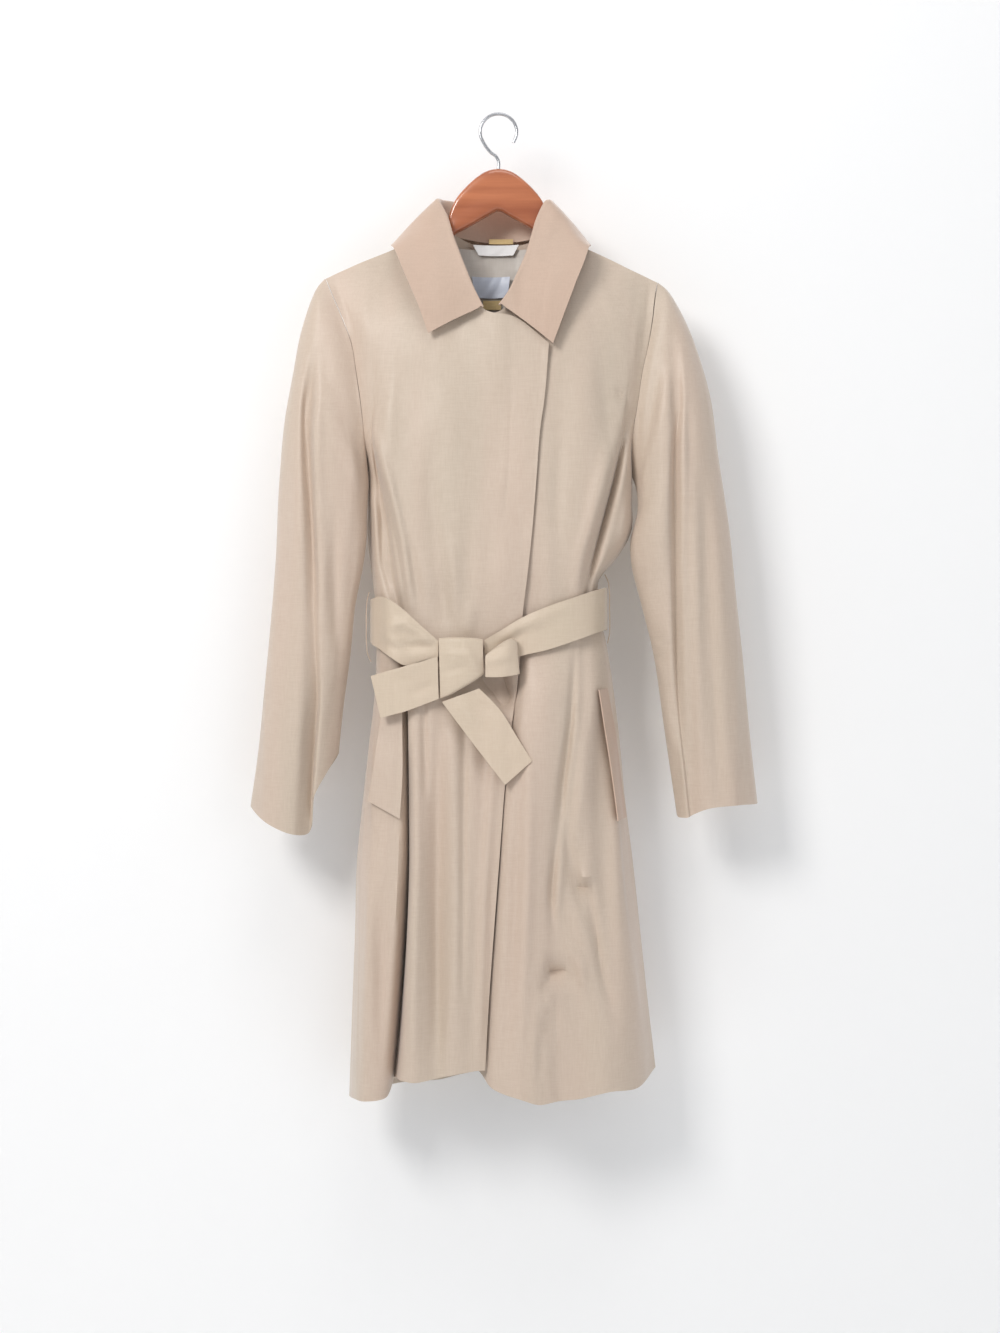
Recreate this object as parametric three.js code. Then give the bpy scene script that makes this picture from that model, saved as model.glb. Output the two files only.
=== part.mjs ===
// A light belted wrap coat hanging on its wooden hanger.
// Millimetres, +Z up, the front faces -Y. The origin is the inside top of the hanger's hook,
// the point that rests on a rail.
import * as THREE from 'three';

// ---------- driving dimensions ----------
const CLOTH = 1.6;            // body and sleeve cloth, with its turned edges
const COLLAR_CLOTH = 2.0;     // two layers and interfacing
const BELT_CLOTH = 2.0;
const SEAM_GAP = 0.3;         // between sewn pieces
const ARMHOLE_BOTTOM = -413.3;
const BACK_CHEST = 34, BACK_WAIST = 36, BACK_HEM = 50;  // how far the back stands behind the hanger
const BELT_WIDTH = 48;
const ROD = 1.9;              // radius of the hook's wire
const HOOK_RADIUS = 21;       // middle of the wire in the hook's bow
const WOOD_TOP = -62;         // top of the hanger's neck
const WOOD_THICK = 12;

// ---------- small helpers ----------
const lerp = (a, b, t) => a + (b - a) * t;
const clamp = (v, a, b) => Math.min(b, Math.max(a, v));
const sub = (a, b) => [a[0] - b[0], a[1] - b[1], a[2] - b[2]];
const add = (a, b, s = 1) => [a[0] + b[0] * s, a[1] + b[1] * s, a[2] + b[2] * s];
const cross = (a, b) => [a[1] * b[2] - a[2] * b[1], a[2] * b[0] - a[0] * b[2], a[0] * b[1] - a[1] * b[0]];
const unit = (a) => { const l = Math.hypot(...a) || 1; return [a[0] / l, a[1] / l, a[2] / l]; };
const mix = (a, b, t) => a.map((v, i) => lerp(v, b[i], t));

// Smooth curve through knots (k = increasing numbers, v = arrays), at k = u.
function through(ks, vs, u) {
  const n = ks.length;
  let i = 0;
  while (i < n - 2 && u > ks[i + 1]) i++;
  const h = ks[i + 1] - ks[i], t = clamp((u - ks[i]) / h, -0.5, 1.5);
  const slope = (j) => {
    if (j <= 0) return vs[0].map((v, c) => (vs[1][c] - v) / (ks[1] - ks[0]));
    if (j >= n - 1) return vs[n - 1].map((v, c) => (v - vs[n - 2][c]) / (ks[n - 1] - ks[n - 2]));
    const a = ks[j] - ks[j - 1], b = ks[j + 1] - ks[j];
    return vs[j].map((v, c) => {
      const d0 = (v - vs[j - 1][c]) / a, d1 = (vs[j + 1][c] - v) / b;
      return d0 * d1 <= 0 ? 0 : (2 * d0 * d1) / (d0 + d1);
    });
  };
  const m0 = slope(i), m1 = slope(i + 1);
  return vs[i].map((v, c) => {
    const a = v, b = vs[i + 1][c], t2 = t * t, t3 = t2 * t;
    return (2 * t3 - 3 * t2 + 1) * a + (t3 - 2 * t2 + t) * h * m0[c] + (-2 * t3 + 3 * t2) * b + (t3 - t2) * h * m1[c];
  });
}

// A closed wall from a grid of points: offset to both sides and closed along its edges.
// around = true joins the last column to the first (a tube). normals[r][c] may fix a direction.
function wall(grid, thick, { around = false, normals = null, flip = false } = {}) {
  const R = grid.length, C = grid[0].length, pos = [], idx = [];
  const at = (r, c) => grid[clamp(r, 0, R - 1)][around ? (c + C) % C : clamp(c, 0, C - 1)];
  const N = [];
  for (let r = 0; r < R; r++) {
    N.push([]);
    for (let c = 0; c < C; c++) {
      const n = normals?.[r]?.[c];
      N[r].push(n ? unit(n) : unit(cross(sub(at(r + 1, c), at(r - 1, c)), sub(at(r, c + 1), at(r, c - 1)))));
    }
  }
  for (const side of [1, -1])
    for (let r = 0; r < R; r++)
      for (let c = 0; c < C; c++) pos.push(...add(grid[r][c], N[r][c], side * thick / 2));
  const id = (s, r, c) => s * R * C + r * C + (around ? (c + C) % C : c);
  const quad = (a, b, c, d) => idx.push(a, b, c, a, c, d);
  const cols = around ? C : C - 1;
  for (let r = 0; r < R - 1; r++)
    for (let c = 0; c < cols; c++) {
      quad(id(0, r, c), id(0, r + 1, c), id(0, r + 1, c + 1), id(0, r, c + 1));
      quad(id(1, r, c), id(1, r, c + 1), id(1, r + 1, c + 1), id(1, r + 1, c));
    }
  for (let c = 0; c < cols; c++) {
    quad(id(0, 0, c), id(0, 0, c + 1), id(1, 0, c + 1), id(1, 0, c));
    quad(id(0, R - 1, c), id(1, R - 1, c), id(1, R - 1, c + 1), id(0, R - 1, c + 1));
  }
  if (!around)
    for (let r = 0; r < R - 1; r++) {
      quad(id(0, r, 0), id(1, r, 0), id(1, r + 1, 0), id(0, r + 1, 0));
      quad(id(0, r, C - 1), id(0, r + 1, C - 1), id(1, r + 1, C - 1), id(1, r, C - 1));
    }
  return solid(pos, idx);
}

// Turns the faces outward where the winding came out reversed.
function solid(pos, idx) {
  let v = 0;
  for (let i = 0; i < idx.length; i += 3) {
    const [a, b, c] = [idx[i], idx[i + 1], idx[i + 2]].map((k) => [pos[3 * k], pos[3 * k + 1], pos[3 * k + 2]]);
    const n = cross(b, c);
    v += a[0] * n[0] + a[1] * n[1] + a[2] * n[2];
  }
  if (v < 0) for (let i = 0; i < idx.length; i += 3) [idx[i + 1], idx[i + 2]] = [idx[i + 2], idx[i + 1]];
  const g = new THREE.BufferGeometry();
  g.setAttribute('position', new THREE.Float32BufferAttribute(pos, 3));
  g.setIndex(idx);
  g.computeVertexNormals();
  return g;
}

// A closed body through rings of equal count, capped at both ends.
function loft(rings) {
  const n = rings[0].length, pos = rings.flat(2), idx = [];
  for (let r = 0; r < rings.length - 1; r++)
    for (let i = 0; i < n; i++) {
      const a = r * n + i, b = r * n + (i + 1) % n;
      idx.push(a, b, b + n, a, b + n, a + n);
    }
  for (const [r, s] of [[0, -1], [rings.length - 1, 1]]) {
    const mid = [0, 1, 2].map((k) => rings[r].reduce((t, p) => t + p[k], 0) / n);
    const m = pos.length / 3;
    pos.push(...mid);
    for (let i = 0; i < n; i++) {
      const a = r * n + i, b = r * n + (i + 1) % n;
      s > 0 ? idx.push(a, b, m) : idx.push(b, a, m);
    }
  }
  return solid(pos, idx);
}

// ---------- the fronts: rails from side seam to front edge ----------
// Each rail is one vertical line of the cloth. TOP and HEM give its ends as [x, y, z]; each
// SECTIONS row gives [x, y] of every rail at that height.

const FRONT_R_TOP = {
  side: [-198.3, -0.9, -188.1], strip: [-192.5, -0.9, -185.3], lobe: [-184.5, -0.9, -181.5], lobeIn: [-175.3, -0.9, -177.3], pleat: [-163.8, -0.9, -172.0], fold: [-150.0, -0.9, -166.3], crestA: [-121.3, -0.9, -154.8], valleyA: [-92.5, -0.9, -142.1], midA: [-67.2, -0.9, -131.8], midB: [-40.2, -32, -196.4], midC: [-15.2, -46, -231.2], midD: [18.6, -48, -240.0], edge: [56.8, -50, -269.6],
};
const FRONT_R_SECTIONS = [
  { z: -263.8, side: [-166.1, -16], strip: [-162.5, -19], lobe: [-157.7, -22], lobeIn: [-153.0, -25], pleat: [-147.1, -28], fold: [-139.0, -31], crestA: [-119.4, -36], valleyA: [-94.3, -40], midA: [-66.0, -43], midB: [-32.1, -46], midC: [-1.7, -48], midD: [27.6, -49], edge: [56.8, -50] },
  { z: -327.1, side: [-156.1, -20], strip: [-153.1, -23], lobe: [-149.6, -25], lobeIn: [-146.0, -27], pleat: [-141.3, -29], fold: [-134.3, -33], crestA: [-115.9, -38], valleyA: [-90.9, -42], midA: [-63.7, -45], midB: [-32.1, -48], midC: [-2.8, -50], midD: [25.3, -51], edge: [52.3, -51] },
  { z: -373.1, side: [-151.4, -15], strip: [-149.4, -19], lobe: [-147.5, -21], lobeIn: [-145.8, -22], pleat: [-144.0, -23], fold: [-140.5, -33], crestA: [-122.6, -40], valleyA: [-95.3, -44], midA: [-65.9, -47], midB: [-34.3, -49], midC: [-6.1, -51], midD: [20.8, -52], edge: [46.1, -52] },
  { z: -413.3, side: [-149.2, 4], strip: [-147.0, -3], lobe: [-144.8, -10], lobeIn: [-142.2, -15], pleat: [-138.9, -13], fold: [-131.2, -38], crestA: [-115.6, -43], valleyA: [-91.8, -46], midA: [-63.6, -48], midB: [-34.3, -50], midC: [-7.3, -52], midD: [17.5, -53], edge: [43.3, -53] },
  { z: -476.6, side: [-151.1, 16], strip: [-148.2, 6], lobe: [-143.9, -6], lobeIn: [-135.2, -18], pleat: [-127.4, -14], fold: [-118.1, -40], crestA: [-104.3, -45], valleyA: [-83.9, -48], midA: [-59.0, -50], midB: [-34.2, -52], midC: [-9.5, -53], midD: [14.1, -54], edge: [38.2, -54] },
  { z: -534.1, side: [-145.2, 14], strip: [-143.4, 3], lobe: [-139.1, -10], lobeIn: [-129.3, -22], pleat: [-120.3, -20], fold: [-110.0, -42], crestA: [-97.5, -46], valleyA: [-79.3, -49], midA: [-56.7, -51], midB: [-34.2, -52], midC: [-10.6, -53], midD: [10.7, -53], edge: [32.1, -53] },
  { z: -570.9, side: [-141.1, 13], strip: [-139.7, 0], lobe: [-134.9, -14], lobeIn: [-122.0, -30], pleat: [-113.0, -29], fold: [-104.4, -42], crestA: [-94.2, -44], valleyA: [-77.2, -46], midA: [-55.7, -47], midB: [-34.3, -48], midC: [-11.8, -48], midD: [8.5, -49], edge: [27.6, -49] },
  { z: -614.6, side: [-140.5, 12], strip: [-138.6, 0], lobe: [-132.5, -16], lobeIn: [-115.2, -30], pleat: [-108.6, -26], fold: [-102.1, -43], crestA: [-91.8, -46], valleyA: [-74.9, -47], midA: [-54.6, -46], midB: [-34.4, -44], midC: [-14.1, -43], midD: [6.2, -44], edge: [24.8, -47] },
  { z: -660.6, side: [-142.2, 12], strip: [-140.3, 0], lobe: [-132.9, -18], lobeIn: [-109.5, -30], pleat: [-104.2, -22], fold: [-100.9, -45], crestA: [-90.5, -50], valleyA: [-72.5, -50], midA: [-53.5, -45], midB: [-34.4, -40], midC: [-16.4, -38], midD: [1.7, -40], edge: [20.3, -47] },
  { z: -718.1, side: [-148.6, 12], strip: [-145.9, -2], lobe: [-136.1, -22], lobeIn: [-107.0, -34], pleat: [-101.0, -18], fold: [-100.0, -48], crestA: [-89.2, -54], valleyA: [-71.3, -53], midA: [-53.4, -51], midB: [-35.4, -48], midC: [-18.6, -47], midD: [-2.8, -48], edge: [12.4, -52] },
  { z: -787.1, side: [-156.1, 12], strip: [-152.7, -4], lobe: [-139.1, -28], lobeIn: [-105.7, -38], pleat: [-100.0, -14], fold: [-99.5, -50], crestA: [-88.0, -57], valleyA: [-69.0, -54], midA: [-52.2, -55], midB: [-36.4, -55], midC: [-20.7, -54], midD: [-7.3, -53], edge: [5.7, -53] },
  { z: -856.1, side: [-163.0, 12], strip: [-158.9, -6], lobe: [-142.2, -33], lobeIn: [-106.8, -40], pleat: [-100.2, -10], fold: [-98.9, -52], crestA: [-87.9, -59], valleyA: [-67.9, -54], midA: [-52.1, -57], midB: [-37.5, -57], midC: [-24.1, -56], midD: [-11.8, -54], edge: [0.6, -53] },
  { z: -936.6, side: [-165.3, 12], strip: [-161.0, -8], lobe: [-145.3, -38], lobeIn: [-111.3, -39], pleat: [-104.9, -8], fold: [-100.6, -52], crestA: [-89.0, -60], valleyA: [-68.5, -53], midA: [-53.2, -57], midB: [-39.8, -58], midC: [-27.4, -57], midD: [-16.2, -54], edge: [-5.6, -53] },
  { z: -1017.1, side: [-168.2, 12], strip: [-163.3, -8], lobe: [-147.4, -40], lobeIn: [-118.2, -37], pleat: [-111.8, -6], fold: [-103.9, -52], crestA: [-91.2, -61], valleyA: [-69.1, -53], midA: [-54.3, -58], midB: [-42.0, -59], midC: [-30.8, -57], midD: [-20.7, -55], edge: [-11.4, -53] },
];
const FRONT_R_HEM = {
  side: [-172.0, 12, -1130.1], strip: [-166.7, -8, -1128.0], lobe: [-149.6, -42, -1124.7], lobeIn: [-128.6, -34, -1122.4], pleat: [-120.0, -4, -1106.0], fold: [-108.4, -52, -1099.4], crestA: [-93.4, -61, -1099.8], valleyA: [-69.1, -52, -1096.6], midA: [-55.4, -58, -1092.6], midB: [-44.2, -59, -1090.2], midC: [-34.2, -57, -1088.9], midD: [-24.1, -55, -1087.6], edge: [-15.1, -53, -1087.4],
};

const FRONT_L_TOP = {
  edge: [-49.3, -33, -253.3], underA: [-20.9, -35, -237.7], underB: [5.1, -36, -228.9], wrap: [26.7, -28, -195.6], crest: [69.5, -0.9, -139.2], midA: [97.1, -0.9, -151.9], midB: [130.5, -0.9, -167.4], fold: [155.8, -0.9, -179.8], valley: [163.8, -0.9, -183.5], puff: [169.6, -0.9, -186.4], puffSide: [175.3, -0.9, -189.2], side: [182.2, -0.9, -192.7],
};
const FRONT_L_SECTIONS = [
  { z: -263.8, edge: [-51.5, -37], underA: [-13.0, -39], underB: [22.1, -41], wrap: [52.5, -43], crest: [71.7, -42], midA: [95.5, -40], midB: [122.9, -35], fold: [148.3, -27], valley: [155.4, -24], puff: [160.1, -21], puffSide: [164.9, -18], side: [169.6, -16] },
  { z: -327.1, edge: [-52.5, -40], underA: [-16.3, -42], underB: [16.4, -45], wrap: [46.8, -46], crest: [66.0, -46], midA: [90.8, -44], midB: [119.3, -38], fold: [143.5, -31], valley: [147.2, -27], puff: [150.8, -24], puffSide: [154.4, -21], side: [158.1, -17] },
  { z: -373.1, edge: [-52.4, -45], underA: [-18.6, -46], underB: [11.9, -46], wrap: [42.3, -47], crest: [61.4, -48], midA: [85.1, -47], midB: [112.3, -43], fold: [137.0, -36], valley: [141.1, -25], puff: [145.2, -22], puffSide: [148.9, -18], side: [151.0, -12] },
  { z: -413.3, edge: [-52.4, -46], underA: [-19.7, -47], underB: [8.5, -47], wrap: [36.6, -48], crest: [56.8, -50], midA: [79.3, -50], midB: [104.2, -48], fold: [128.2, -42], valley: [133.8, -22], puff: [142.8, -25], puffSide: [150.2, -15], side: [153.8, 4] },
  { z: -476.6, edge: [-52.4, -46], underA: [-23.1, -47], underB: [4.0, -48], wrap: [31.0, -49], crest: [50.1, -51], midA: [69.2, -52], midB: [89.4, -51], fold: [111.6, -46], valley: [117.8, -24], puff: [132.2, -30], puffSide: [146.7, -17], side: [152.8, 6] },
  { z: -511.1, edge: [-52.4, -46], underA: [-24.2, -47], underB: [0.6, -47], wrap: [27.6, -48], crest: [45.6, -50], midA: [63.6, -51], midB: [82.7, -50], fold: [103.2, -45], valley: [108.5, -28], puff: [119.8, -30], puffSide: [129.6, -16], side: [134.3, 6] },
  { z: -539.8, edge: [-51.3, -45], underA: [-25.3, -45], underB: [-0.5, -46], wrap: [25.4, -46], crest: [42.3, -47], midA: [60.3, -48], midB: [78.3, -47], fold: [96.5, -43], valley: [101.5, -32], puff: [107.4, -28], puffSide: [110.9, -14], side: [113.7, 8] },
  { z: -570.9, edge: [-51.3, -42], underA: [-26.5, -43], underB: [-2.8, -43], wrap: [22.0, -43], crest: [38.9, -44], midA: [57.0, -45], midB: [75.0, -44], fold: [92.1, -41], valley: [98.0, -35], puff: [106.2, -28], puffSide: [112.6, -14], side: [116.0, 8] },
  { z: -614.6, edge: [-50.3, -37], underA: [-26.6, -37], underB: [-5.1, -36], wrap: [19.8, -37], crest: [35.5, -45], midA: [53.6, -46], midB: [71.6, -45], fold: [87.5, -43], valley: [94.5, -38], puff: [106.0, -33], puffSide: [119.2, -18], side: [125.2, 8] },
  { z: -660.6, edge: [-49.4, -28], underA: [-27.8, -29], underB: [-6.2, -29], wrap: [14.8, -34], crest: [30.9, -55], midA: [49.9, -60], midB: [67.9, -57], fold: [83.8, -51], valley: [91.9, -45], puff: [106.7, -42], puffSide: [124.8, -20], side: [132.1, 8] },
  { z: -718.1, edge: [-48.1, -34], underA: [-28.8, -36], underB: [-10.7, -38], wrap: [6.2, -40], crest: [21.9, -60], midA: [43.1, -64], midB: [63.3, -60], fold: [79.2, -54], valley: [88.4, -49], puff: [106.5, -46], puffSide: [128.2, -22], side: [139.1, 8] },
  { z: -787.1, edge: [-48.0, -40], underA: [-29.9, -42], underB: [-14.1, -43], wrap: [-0.5, -42], crest: [15.2, -61], midA: [38.6, -66], midB: [56.6, -62], fold: [70.7, -56], valley: [82.7, -51], puff: [105.2, -50], puffSide: [131.3, -26], side: [145.4, 8] },
  { z: -856.1, edge: [-48.0, -42], underA: [-32.1, -44], underB: [-18.6, -44], wrap: [-5.0, -42], crest: [10.7, -61], midA: [35.2, -67], midB: [52.1, -63], fold: [65.1, -56], valley: [80.4, -52], puff: [107.4, -52], puffSide: [135.7, -30], side: [154.1, 8] },
  { z: -936.6, edge: [-48.0, -42], underA: [-34.4, -44], underB: [-23.1, -44], wrap: [-10.7, -42], crest: [5.1, -60], midA: [31.9, -68], midB: [48.7, -64], fold: [62.3, -57], valley: [82.6, -54], puff: [114.0, -54], puffSide: [144.6, -32], side: [162.7, 8] },
  { z: -1017.1, edge: [-48.0, -40], underA: [-36.7, -42], underB: [-26.5, -42], wrap: [-16.3, -41], crest: [-0.5, -59], midA: [29.6, -69], midB: [47.5, -66], fold: [64.5, -58], valley: [89.3, -55], puff: [120.7, -55], puffSide: [151.3, -34], side: [171.4, 8] },
];
const FRONT_L_HEM = {
  edge: [-47.0, -32, -1086.6], underA: [-37.9, -34, -1086.2], underB: [-28.9, -34, -1087.3], wrap: [-19.8, -37, -1093.5], crest: [-6.1, -58, -1107.2], midA: [28.5, -70, -1118.0], midB: [45.2, -68, -1122.9], fold: [69.0, -59, -1120.4], valley: [91.5, -56, -1118.8], puff: [125.1, -56, -1111.0], puffSide: [156.9, -34, -1111.1], side: [180.6, 8, -1095.7],
};


// ---------- armholes: one loop each, shared by front, back and sleeve ----------
// one row for each station from the shoulder tip to the underarm; x is the distance outward
// from the coat's middle plane on that side, yf and yb the front and back seam


const ARMHOLE_R = [
  { at: 'tip', z: -187.9, x: -198.4, yf: 0, yb: 0 },
  { at: 'capHigh', z: -209.8, x: -189.2, yf: -9, yb: 10 },
  { at: 'capMid', z: -239.7, x: -176.5, yf: -14, yb: 17 },
  { at: 'capLow', z: -265.0, x: -167.3, yf: -16, yb: 21 },
  { at: 'chest', z: -296.0, x: -162.1, yf: -18, yb: 24 },
  { at: 'pitch', z: -330.5, x: -157.0, yf: -20, yb: 25 },
  { at: 'low', z: -374.2, x: -152.4, yf: -15, yb: 20 },
  { at: 'under', z: -413.3, x: -148.9, yf: 4, yb: 4 },
];

const ARMHOLE_L = [
  { at: 'tip', z: -192.5, x: 182.3, yf: 0, yb: 0 },
  { at: 'capHigh', z: -212.1, x: 178.8, yf: -9, yb: 10 },
  { at: 'capMid', z: -239.7, x: 175.4, yf: -14, yb: 17 },
  { at: 'capLow', z: -265.0, x: 170.8, yf: -16, yb: 21 },
  { at: 'chest', z: -296.0, x: 163.9, yf: -17, yb: 24 },
  { at: 'pitch', z: -330.5, x: 158.7, yf: -17, yb: 25 },
  { at: 'low', z: -374.2, x: 152.4, yf: -12, yb: 20 },
  { at: 'under', z: -413.3, x: 153.5, yf: 4, yb: 4 },
];

const SLEEVE_R = [
  { at: 'cap1', outer: [-208.7, 0, -199.4], inner: [-149.4, -2, -425.0], front: 27, back: 31, fold: 0.08, foldDeep: 2, follow: 0 },
  { at: 'cap2', outer: [-226.2, 2, -247.4], inner: [-150.3, -5, -439.0], front: 34, back: 34, fold: 0.14, foldDeep: 6, follow: 0.5 },
  { at: 'cap3', outer: [-236.5, 2, -300.3], inner: [-151.4, -6, -459.8], front: 36, back: 35, fold: 0.2, foldDeep: 8, follow: 1 },
  { at: 'upper', outer: [-245.7, 2, -352.1], inner: [-152.0, -6, -488.5], front: 36, back: 35, fold: 0.28, foldDeep: 9, follow: 1 },
  { at: 'elbowHigh', outer: [-252.1, 2, -425.8], inner: [-156.6, -5, -522.8], front: 35, back: 33, fold: 0.39, foldDeep: 9, follow: 1 },
  { at: 'elbow', outer: [-256.1, 2, -512.1], inner: [-164.7, -4, -562.9], front: 34, back: 31, fold: 0.49, foldDeep: 9, follow: 1 },
  { at: 'foreHigh', outer: [-263.0, 2, -598.4], inner: [-170.6, -2, -620.3], front: 33, back: 29, fold: 0.58, foldDeep: 10, follow: 1 },
  { at: 'foreMid', outer: [-269.6, 4, -664.1], inner: [-177.7, 0, -672.1], front: 33, back: 28, fold: 0.68, foldDeep: 12, follow: 1 },
  { at: 'foreLow', outer: [-276.0, 5, -728.6], inner: [-182.4, 2, -712.4], front: 33, back: 27, fold: 0.7, foldDeep: 14, follow: 1 },
  { at: 'cuff', outer: [-285.6, 8, -794.5], inner: [-184.2, 4, -732.0], front: 33, back: 26, fold: 0.68, foldDeep: 15, follow: 1 },
];

const SLEEVE_L = [
  { at: 'cap1', outer: [193.8, 0, -201.7], inner: [158.0, -2, -426.2], front: 27, back: 31, fold: 0.08, foldDeep: 1, follow: 0 },
  { at: 'cap2', outer: [212.4, 2, -232.4], inner: [159.5, -5, -435.6], front: 34, back: 34, fold: 0.12, foldDeep: 4, follow: 0.5 },
  { at: 'cap3', outer: [228.5, 2, -271.6], inner: [160.0, -6, -446.0], front: 36, back: 35, fold: 0.33, foldDeep: 6, follow: 1 },
  { at: 'upper', outer: [243.4, 2, -324.5], inner: [159.4, -6, -458.6], front: 36, back: 35, fold: 0.5, foldDeep: 7, follow: 1 },
  { at: 'elbowHigh', outer: [252.6, 2, -392.4], inner: [152.0, -5, -489.5], front: 35, back: 33, fold: 0.51, foldDeep: 7, follow: 1 },
  { at: 'elbow', outer: [265.3, 2, -476.4], inner: [153.3, -4, -518.2], front: 34, back: 31, fold: 0.56, foldDeep: 7, follow: 1 },
  { at: 'foreHigh', outer: [273.4, 2, -557.0], inner: [164.9, -2, -564.0], front: 33, back: 29, fold: 0.65, foldDeep: 7, follow: 1 },
  { at: 'foreMid', outer: [280.5, 4, -620.3], inner: [178.8, 0, -620.3], front: 33, back: 28, fold: 0.76, foldDeep: 7, follow: 1 },
  { at: 'foreLow', outer: [288.7, 5, -707.9], inner: [191.6, 2, -707.8], front: 32, back: 27, fold: 0.82, foldDeep: 6, follow: 1 },
  { at: 'cuff', outer: [298.3, 8, -791.1], inner: [205.6, 4, -801.2], front: 31, back: 26, fold: 0.85, foldDeep: 5, follow: 1 },
];

const CUFF_DROP_R = { f1: 30, f2: 62, f3: 71, f4: 34, f5: 16, f6: 3, b1: 7, b2: 14, b3: 29, b4: 29, b5: 17, b6: 6 };

const CUFF_DROP_L = { f1: -2, f2: -2, f3: 5, f4: 6, f5: 6, f6: 5, b1: -5, b2: -7, b3: -9, b4: -9, b5: -7, b6: -3 };

const COLLAR = [
  { at: 'frontR', roll: [-17.4, -53, -229.7], edge: [-79.2, -52, -258.7], neck: [-18.6, -46, -227.8] },
  { at: 'r1', roll: [-27.5, -50, -208.9], edge: [-89.3, -53, -229.7], neck: [-32.2, -41, -206.0] },
  { at: 'r2', roll: [-36.6, -45, -186.5], edge: [-98.3, -52, -208.1], neck: [-42.5, -30, -182.4] },
  { at: 'r3', roll: [-44.7, -37, -164.5], edge: [-107.4, -49, -187.3], neck: [-51.3, -18, -159.5] },
  { at: 'r4', roll: [-51.7, -27, -144.3], edge: [-113.9, -43, -170.3], neck: [-59.0, -9, -139.3] },
  { at: 'r5', roll: [-58.9, -12, -118.2], edge: [-119.7, -30, -157.4], neck: [-66.6, -3, -127.6] },
  { at: 'peakR', roll: [-68.0, 4, -97.3], edge: [-122.7, -6, -151.2], neck: [-67.4, 5, -125.9] },
  { at: 'r7', roll: [-61.0, 22, -94.3], edge: [-116.7, 22, -145.3], neck: [-58.5, 16, -131.6] },
  { at: 'r8', roll: [-35.6, 35, -94.7], edge: [-82.6, 43, -151.5], neck: [-35.5, 27, -137.3] },
  { at: 'back', roll: [-1.8, 40, -94.8], edge: [-1.8, 53, -160.0], neck: [-2.9, 33, -140.7] },
  { at: 'l8', roll: [32.1, 35, -94.7], edge: [74.4, 43, -151.5], neck: [36.6, 27, -137.3] },
  { at: 'l7', roll: [58.4, 13, -98.7], edge: [102.6, 20, -145.8], neck: [68.7, 10, -128.2] },
  { at: 'peakL', roll: [53.3, -9, -101.5], edge: [105.4, -8, -151.7], neck: [65.9, -7, -132.0] },
  { at: 'l5', roll: [44.0, -15, -121.1], edge: [102.7, -30, -157.4], neck: [57.8, -11, -137.4] },
  { at: 'l4', roll: [37.0, -27, -146.6], edge: [96.5, -43, -177.1], neck: [46.3, -14, -151.8] },
  { at: 'l3', roll: [31.2, -36, -166.6], edge: [88.4, -49, -197.4], neck: [37.6, -20, -166.7] },
  { at: 'l2', roll: [23.2, -44, -186.3], edge: [81.5, -53, -216.2], neck: [29.0, -27, -186.3] },
  { at: 'l1', roll: [11.8, -50, -211.1], edge: [71.3, -55, -243.5], neck: [16.4, -37, -207.5] },
  { at: 'frontL', roll: [0.6, -51.5, -227.1], edge: [61.2, -56.5, -270.7], neck: [4.0, -43, -224.5] },
];

const BACK_TOP = [
  { f: 0.0, x: -198.5, y: 0.9, z: -187.8 },
  { f: 0.03, x: -190.4, y: 0.9, z: -183.7 },
  { f: 0.08, x: -176.6, y: 0.9, z: -177.4 },
  { f: 0.15, x: -154.7, y: 0.9, z: -168.2 },
  { f: 0.22, x: -130.6, y: 0.9, z: -158.4 },
  { f: 0.29, x: -99.5, y: 0.9, z: -144.6 },
  { f: 0.36, x: -67.3, y: 0.9, z: -131.4 },
  { f: 0.43, x: -33.2, y: 30, z: -140.8 },
  { f: 0.5, x: -5.3, y: 38, z: -143.7 },
  { f: 0.57, x: 27.4, y: 32, z: -142.1 },
  { f: 0.64, x: 69.6, y: 0.9, z: -138.9 },
  { f: 0.71, x: 97.2, y: 0.9, z: -151.5 },
  { f: 0.78, x: 124.8, y: 0.9, z: -164.2 },
  { f: 0.85, x: 149.0, y: 0.9, z: -176.2 },
  { f: 0.92, x: 166.2, y: 0.9, z: -184.3 },
  { f: 0.97, x: 175.4, y: 0.9, z: -188.9 },
  { f: 1, x: 182.3, y: 0.9, z: -192.4 },
];

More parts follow.
